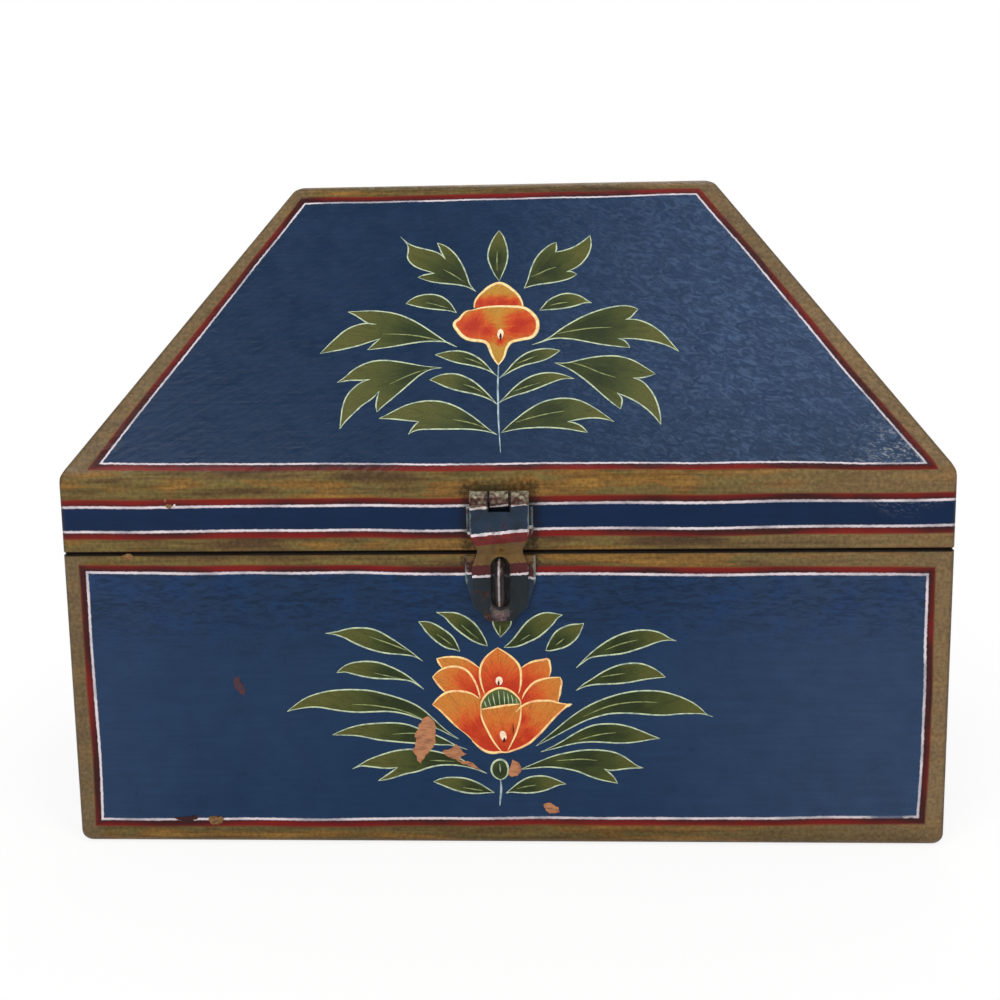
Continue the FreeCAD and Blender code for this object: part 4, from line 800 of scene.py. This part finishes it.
# Petals of the case's flower, then its green seed head.
CASE_PETALS = shapes_of("""
    -2.7,82.4 -5.2,80.5 -7.2,78.6 -8.7,76.5 -9.6,74 -9.9,71.5 -9.7,69 -9.1,66.1 -8,62.8 / -7,60 -2,59.5 /
    3.6,60 5.3,62.4 6.1,64.9 6.5,67.6 6.6,70.8 6.2,74 4.8,76.5 2.5,78.8 -0.2,80.8 | -2.2,64,22 -7,65,16
    4,65,16 ;
    -27.2,77.8 -24.3,78.4 -20.6,78.6 -17.5,78.2 -14.7,77.2 -12.5,75.8 / -9.9,73.6 -9.9,71.5 -9.7,69
    -9.1,66.1 -8,60.5 / -10.2,60.5 -12,68.3 -13.4,70.8 -15.2,72.9 -17.9,74.2 -21.1,74.5 / -24.5,73.8
    -25.9,75.6 | -10.5,68,12 ;
    -29,70.1 -27,72.2 -24.3,73.8 -21.1,74.5 -17.9,74.2 -15.2,72.9 -13.4,70.8 -12,68.3 -10.9,65.4 -10.4,63.1
    / -8.6,59.4 -12.9,62.9 -16.1,63.9 -19.3,64.2 / -22.9,63.9 -24,63.8 -25.9,65.8 -27.5,67.9 | -11.5,64,17 ;
    -29.3,58.5 -27.5,60.6 -25.2,62.6 -22.5,63.9 -19.3,64.2 -16.1,63.9 -12.9,62.9 / -8,59 -8,56 -8.5,52
    -7.2,48.1 -5.4,44.5 -3.4,41.3 / -2.1,38.6 -4.7,38.1 -7.5,38.5 -10.2,40.1 -12.7,42.4 -15.2,45.4
    -17.9,47.6 -20.6,50.1 -23.4,53.1 -26.5,56.3 | -6,41,22 -13,47,13 -9,51,9 ;
    26.2,58.5 23.5,56.5 20.7,53.8 18,50.8 15.3,47.6 12.5,44.7 9.8,42.2 6.6,40.4 3.5,39.2 0.3,38.4 /
    -2.1,38.6 0.2,40 2,43 3.4,46 4.4,49 4.8,52 4.8,55 / 4.8,56.4 8.9,59 12.1,59.9 15.7,60.1 19.4,59.9
    21.6,59.2 24,58.6 | 3,41,22 9,45,11 6,52,8 ;
    22.3,70 18,69.7 14.8,69 12.1,67.9 9.8,65.8 8,63.3 5.4,60.8 / 5,57.2 8.9,59 12.1,59.9 15.7,60.1 19.4,59.9
    / 21.6,59.3 22.1,62.6 22.5,65.4 22.9,68.1 | 7,59.5,15.5 ;
    17.5,77.4 15.3,77.2 12.1,76.7 8.9,75.4 / 6.2,73.8 6.2,70.8 6,67.6 5.4,64 4.6,61.6 / 5.2,60.6 8,63.3
    9.8,65.8 12.1,67.9 14.8,69 / 18,69.8 18.5,73.1 18.2,75.4 | 8,66,15.5 ;
    -9.7,56.5 -5.8,57.2 -1.8,57.8 2.2,58.4 / 6.4,58.4 6.4,54.9 6,51.7 5.2,48.5 4.1,45.4 2.6,42.2 0.9,39.2 /
    -1.5,38.4 -3.6,41.1 -5.4,44 -7.2,47.6 -8.8,51.2 -9.6,54 | -1,38,21
""")
CASE_DOME = shapes_of("""
    -9.6,56.6 -9.6,58.3 -8.8,60.5 -7.3,62.5 -5,64.2 -2.5,65.1 -0.2,65 2.4,63.9 4.6,62 6,59.9 / 6.4,58.2
    2.2,58.4 -1.8,57.8 -5.8,57.2 | -2,57,9
""")
CASE_BUD = shapes_of("""
    -2.3,34.9 -4.6,33.8 -5.6,31.6 -5.3,29.2 -3.9,27.4 / -1.9,26.5 -0.1,27.7 0.9,29.8 0.8,32.2 -0.4,34.2 |
    -2.2,30,4
""")
CASE_FLOWER_LINES = lines_of("""
    -2.7,82.4 -5.2,80.5 -7.2,78.6 -8.7,76.5 -9.6,74 -9.9,71.5 -9.7,69 -9.1,66.1 -8,62.8 | 0.48 ;
    -2.7,82.4 -0.2,80.8 2.5,78.8 4.8,76.5 6.2,74 6.6,70.8 6.5,67.6 6.1,64.9 5.5,63.1 | 0.5 ;
    -9.9,73.8 -12.5,75.8 -14.7,77.2 -17.5,78.2 -20.6,78.6 -24.3,78.4 -27.4,77.8 | 0.45 ;
    -27.2,78 -26.6,76.6 -25.8,75.2 -24.9,73.7 | 0.45 ;
    -9.9,61 -10.3,63.1 -10.9,65.4 -12,68.3 -13.4,70.8 -15.2,72.9 -17.9,74.2 -21.1,74.5 -24.3,73.8 -27,72.2
    -29,70.1 | 0.5 ;
    -29,70.1 -27.5,67.9 -25.9,65.8 -24,63.8 | 0.45 ;
    -10.2,61 -12.9,62.9 -16.1,63.9 -19.3,64.2 -22.5,63.9 -25.2,62.6 -27.5,60.6 -29.3,58.5 | 0.5 ;
    -29.3,58.5 -26.5,56.3 -23.4,53.1 -20.6,50.1 -17.9,47.6 | 0.42 ;
    -19,48.4 -15.2,45.4 -12.4,42.2 | 0.2 ;
    -13.4,43.1 -10.2,40.1 -7.5,38.5 -4.7,38 -2.2,38.3 0.3,38.2 | 0.6 ;
    26.2,58.5 23.5,56.5 20.7,53.8 18,50.8 15.3,47.6 12.5,44.7 9.8,42.2 6.6,40.4 3.5,39.2 0.3,38.2 -2.2,38.3
    | 0.5 ;
    27,58.7 25.6,58.2 23.9,57.2 | 0.75 ;
    4.4,55.4 6.6,57.6 8.9,59 12.1,59.9 15.7,60.1 19.4,59.9 21.6,59.2 26.2,58.5 | 0.5 ;
    6.9,60.8 8,63.3 9.8,65.8 12.1,67.9 14.8,69 18,69.7 22.3,70 | 0.5 ;
    22.3,70 22.9,68.1 22.5,65.4 22.1,62.6 21.4,59.9 | 0.45 ;
    6.9,74 8.9,75.4 12.1,76.7 15.3,77.2 17.5,77.4 18.2,75.4 18.5,73.1 18,70.4 | 0.5 ;
    -9.6,56.4 -9.7,58.3 -8.9,60.6 -7.4,62.7 -5,64.5 -2.5,65.4 -0.2,65.3 2.4,64.2 4.7,62.2 6.2,60 6.5,57.6 |
    0.48 ;
    -9.7,56.5 -5.8,57.1 -1.8,57.8 2.2,58.4 6.4,58.8 | 0.5 ;
    -9.7,56.5 -9.6,54 -8.8,51.2 -7.2,47.6 -5.4,44 -3.6,41.1 -1.4,38.4 | 0.45 ;
    6.5,57.6 6.4,54.9 6,51.7 5.2,48.5 4.1,45.4 2.6,42.2 0.9,38.9 | 0.45
""")
SEED_LINES = lines_of("""
    -7.4,57.4 -7.9,58.8 -8.2,60.2 | 0.24 ;
    -5.6,57.6 -6.3,59.8 -6.7,62 | 0.24 ;
    -3.8,57.8 -4.5,60.8 -4.9,63.4 | 0.24 ;
    -1.9,58.1 -2.3,61.4 -2.5,64.4 | 0.24 ;
    -0.1,58.4 -0.2,61.4 -0.4,64.2 | 0.24 ;
    1.6,58.6 1.4,61 1,63.4 | 0.24 ;
    3.3,58.8 3.1,60.6 2.6,62.6 | 0.24 ;
    4.9,58.9 4.8,60 4.4,61.2 | 0.24
""")
BUD_LINES = lines_of("""
    -1.9,26.4 -3.9,27.3 -5.4,29.2 -5.7,31.6 -4.7,33.9 -2.3,35.1 -0.3,34.4 0.9,32.2 1,29.8 0,27.6 -1.9,26.4 |
    0.46 ;
    -2.4,33.4 -2.2,31.6 -2.1,29.6 | 0.26
""")
SEED_SPOTS = shapes_of("""
    -2.2,70.4 -1.2,69.9 -0.8,68.6 -1.2,67.3 -2.2,66.8 -3.2,67.3 -3.6,68.6 -3.2,69.9 | -2.2,68.6,3 ;
    -1.2,47.5 -0.1,46.8 0.5,45.3 0.3,43.8 -0.5,43.2 -1.5,43.8 -2.1,45.3 -2.1,46.8 | -1,45.4,3
""")
LID_PETALS = shapes_of("""
    -12.6,77 -12.4,79.5 -11.2,82.3 -9.2,84.7 -7.2,86.8 -4.9,88.4 -2.3,89.2 0,88.4 2.6,86.3 5,83.8 6.4,81.5
    7.3,79 / 7.7,76.8 3,77.3 -1.5,77.4 -6,77.3 | -10,79,6 -5.5,79,6.5 -1,79,6.5 3.5,79,6 ;
    -12.6,76.4 -9.8,76.9 -5,77.5 -1.5,77.6 3,77.4 7.2,77 9.6,75.8 11.9,73.4 13.3,71 13.7,68.4 13.3,65.4
    12,63.2 10.6,62.2 8,61.6 5,60.9 3,60.2 1.6,58.4 0.8,56.4 0.2,53.6 -0.8,51.4 / -2.2,49.4 -3.4,51.2
    -4.6,53.6 -5.5,56 -6.3,58.5 -7.4,60 -9.8,60.9 -12.6,61.2 -15.2,62 -17.4,63.6 -19,65.8 -20,67.4
    -20.6,68.8 -20,70.4 -18.6,71.6 -17.5,73.4 -15.8,75.2 | -13,68,13 7.2,68.6,12.5 -7.5,65.5,8 4,65.8,8
    -1.6,60.5,3.5
""")
# The lid flower's outlines run along its petals.
crown, skirt = (closed(outline) for outline, _ in LID_PETALS)
LID_FLOWER_LINES = [(crown[0], 0.68), ([(-14, 75.6)] + skirt[0][1:], 0.78),
                    (skirt[1][:-1] + [(-14, 75.8)], 0.8)]
fills("case_flower", CASE_PETALS, CASE_FACE, 0.08, PETAL, "case")
fills("case_seed_head", CASE_DOME, CASE_FACE, 0.115, DOME, "case")
strokes("case_seed_lines", SEED_LINES, CASE_FACE, 0.115, PALE_LINE, "case")
fills("case_seed_spots", SEED_SPOTS, CASE_FACE, 0.13, IVORY, "case")
fills("case_bud", CASE_BUD, CASE_FACE, 0.08, BUD, "case")
strokes("case_bud_lines", BUD_LINES, CASE_FACE, 0.1, PALE_LINE, "case")
strokes("case_flower_outlines", CASE_FLOWER_LINES, CASE_FACE, 0.1, CREAM_LINE, "case")
fills("lid_flower", LID_PETALS, SLOPE_FACE, 0.08, LID_PETAL, "lid")
strokes("lid_flower_outlines", LID_FLOWER_LINES, SLOPE_FACE, 0.09, LID_CREAM, "lid")
fills("lid_seed_spot", [([[(-1.5, 66.6), (-0.6, 65.8), (-0.3, 64.2), (-0.8, 62.4), (-1.6, 61.6),
                          (-2.4, 62.4), (-2.8, 64.2), (-2.4, 65.8)]], [(-1.5, 64, 3)])],
      SLOPE_FACE, 0.12, IVORY, "lid")
strokes("case_dark_drops", [
    ([(-2.4, 66.5), (-2.4, 67.5), (-2.4, 68.5)], 0.5),
    ([(-0.6, 42.4), (-0.4, 43.4), (-0.3, 44.5)], 0.6),
    ([(3.2, 50.4), (3.3, 48), (3.2, 45.4)], 0.3),
], CASE_FACE, 0.14, DARK_DROP, "case")
strokes("lid_dark_drops", [([(-1.5, 61), (-1.5, 62.8), (-1.5, 64.4)], 0.6)], SLOPE_FACE, 0.14,
        DARK_DROP, "lid")
strokes("case_stem", [([(-2.2, 26.5), (-1.9, 24), (-1.9, 21.3), (-2.2, 18.5), (-2.5, 15.1)], 0.5)],
        CASE_FACE, 0.05, STEM_LINE, "case")
strokes("lid_stem", [([(-2.1, 50.4), (-2.2, 46), (-2.3, 40), (-2.1, 33), (-1.9, 26), (-1.5, 19),
                       (-0.8, 9.4)], 0.42)], SLOPE_FACE, 0.05, STEM_LINE, "lid")

# Places where the paint has flaked to the red primer.
CHIPS = shapes_of("""
    -31.1,53.4 -28.9,51.9 / -28.1,46.9 / -28.6,42.5 / -30.1,39.4 / -32.6,36.9 / -34.8,33.1 / -36.1,36.3 /
    -37.6,39.1 / -36.4,42.5 / -36.7,45.6 / -35.1,49.4 / -33.3,52.5 | -32,44,8 ;
    -20.1,41.6 -17,38.8 / -15.8,37.5 / -17.6,36.6 / -18.9,35 / -13.3,33.8 / -10.1,30.6 / -12,31.3 / -17,33.4
    / -20.1,35 / -23.9,36.9 / -25.8,38.4 / -22.6,40 | -20,38,6 ;
    3,35.1 5.7,33.5 / 6.4,31.3 / 5.3,28.5 / 2.5,27.6 / 0.7,28.8 / 1.6,30.8 / 2.3,33.1 | 4,31,4 ;
    15.1,16 17.6,16.7 / 21.2,14.6 / 22.1,12.8 / 17.6,11.6 / 15.9,14 | 18,14,4
""")
fills("case_chips", CHIPS, CASE_FACE, 0.22, CHIP, "case", 0.55)
# Small marks of use: a smear of red, bare wood at the seam and along the foot, dabs of paint where
# two lines meet, and a blister in the band's upper line.
fills("case_red_smear", [([[(-108.5, 70.6), (-107, 71), (-105.6, 69.6), (-104.6, 67.2), (-103.9, 64.6),
                           (-105, 63.8), (-106.4, 64.8), (-107.6, 66.6), (-108.4, 68.6)]],
                         [(-106, 67.6, 3)])], PLAIN_FACE, 0.08, SMEAR, "case", 0.7)
fills("case_bare_wood", [
    ([[(-151.8, 121.3), (-146.4, 121.3)], [(-147.2, 119.8), (-149, 119.3), (-150.8, 120)]], [(-149, 120, 3)]),
    ([[(-121.5, 11.6), (-118.4, 12.1), (-115.6, 11.4)], [(-116, 8.9), (-118.6, 8.5), (-120.8, 9)]],
     [(-118.4, 10.5, 3)]),
], PLAIN_FACE, 0.12, BARE, "case", 0.5)
fills("case_dark_smear", shapes_of("""
    -136,11.3 -131,11.7 -125.8,11.6 / -128,10.3 -131,9.9 -133.6,10.2 | -131,10.6,3
"""), PLAIN_FACE, 0.14, DARK_SMEAR, "case", 0.5)
fills("lid_blister", shapes_of("""
    -132.6,141.6 -131,142 -129.8,141.3 -130.2,140.5 -131.8,140.5 | -131.2,141.2,2 ;
    -132.6,144.4 -132,144.6 / -131.9,142.8 -132.5,142.8 | -132,143,2 ;
    -149.6,147.9 -148.2,148 / -148.6,147 -149.4,147.1 | -149,147.5,2
"""), PLAIN_FACE, 0.1, BARE, "lid", 0.2)
strokes("lid_white_dab", [([(-129.4, 140.6), (-128.8, 141.3), (-128.5, 142)], 0.6)], PLAIN_FACE, 0.12,
        WHITE_DAB, "lid")


# Floor, light and camera.
def pale_floor():
    """A matt white sheet. To the camera and in reflections it is lifted to white, wholly so far from
    the box, and near the box it keeps the box's shadow."""
    made, add, mm = material("white_paper_floor")
    ray = add("LightPath", out="all")
    seen = add("MAXIMUM", ray["Is Camera Ray"], ray["Is Glossy Ray"])
    seen = add("MAXIMUM", seen, ray["Is Transmission Ray"])
    away = add("MapRange", add("VectorMath LENGTH", mm), 180.0, 400.0, 0.84)
    seen = add("MULTIPLY", seen, away)
    matt = add("BsdfDiffuse", "#f4f3f1")
    white = add("Emission", "#ffffff", 1.0)
    add("OutputMaterial", add("MixShader", seen, matt, white))
    return made


ground = bmesh.new()
bmesh.ops.create_grid(ground, x_segments=2, y_segments=2, size=4.0)
mesh = bpy.data.meshes.new("floor")
ground.to_mesh(mesh)
ground.free()
mesh.materials.append(pale_floor())
floor = bpy.data.objects.new("floor", mesh)
bpy.context.scene.collection.objects.link(floor)

world = bpy.data.worlds.new("studio")
bpy.context.scene.world = world
world.use_nodes = True
world.node_tree.nodes.clear()
add = adder(world.node_tree)
ray = add("LightPath", out="all")
seen = add("MAXIMUM", ray["Is Camera Ray"], ray["Is Transmission Ray"])
add("OutputWorld", add("Background", "#ffffff", add("MapRange", seen, 0.0, 1.0, 0.5)))


def lamp(name, place, target, size, watts):
    """A square soft box turned to a point."""
    light = bpy.data.lights.new(name, "AREA")
    light.size = size
    light.energy = watts
    made = bpy.data.objects.new(name, light)
    made.location = place
    made.rotation_euler = (Vector(target) - Vector(place)).to_track_quat("-Z", "Y").to_euler()
    bpy.context.scene.collection.objects.link(made)


lamp("key", (-0.9, -1.6, 1.7), (0, 0, 0.1), 1.2, 28)
lamp("fill", (0.75, -1.1, 1.75), (0, 0, 0.12), 0.7, 14)
lamp("glint", (-0.9, -1.25, 0.1), (0, -0.12, 0.12), 0.16, 1.2)
lamp("back", (0.3, 1.6, 1.8), (0, 0, 0.1), 1.2, 14)

# The camera stands where the photograph's did: 50.4 mm lens, 0.65 m back, looking 9.4 degrees down,
# with the frame cut a little off the lens's axis.
yaw, pitch, roll = (math.radians(a) for a in (-2.97, 9.366, -0.99))
ahead = Vector((math.sin(yaw) * math.cos(pitch), math.cos(yaw) * math.cos(pitch), -math.sin(pitch)))
right = Vector((math.cos(yaw), -math.sin(yaw), 0))
upward = right.cross(ahead)
turned_right = right * math.cos(roll) + upward * math.sin(roll)
turned_up = upward * math.cos(roll) - right * math.sin(roll)
camera = bpy.data.objects.new("camera", bpy.data.cameras.new("camera"))
bpy.context.scene.collection.objects.link(camera)
camera.data.lens = 50.4
camera.data.sensor_width = 36.0
camera.data.shift_x = 0.0242
camera.data.shift_y = -0.04
camera.data.clip_start = 0.05
camera.data.clip_end = 30.0
camera.matrix_world = Matrix.Translation((0.0182, -0.6548, 0.2469)) @ Matrix(
    (turned_right, turned_up, -ahead)).transposed().to_4x4()
bpy.context.scene.camera = camera
bpy.context.scene.view_settings.view_transform = "Standard"
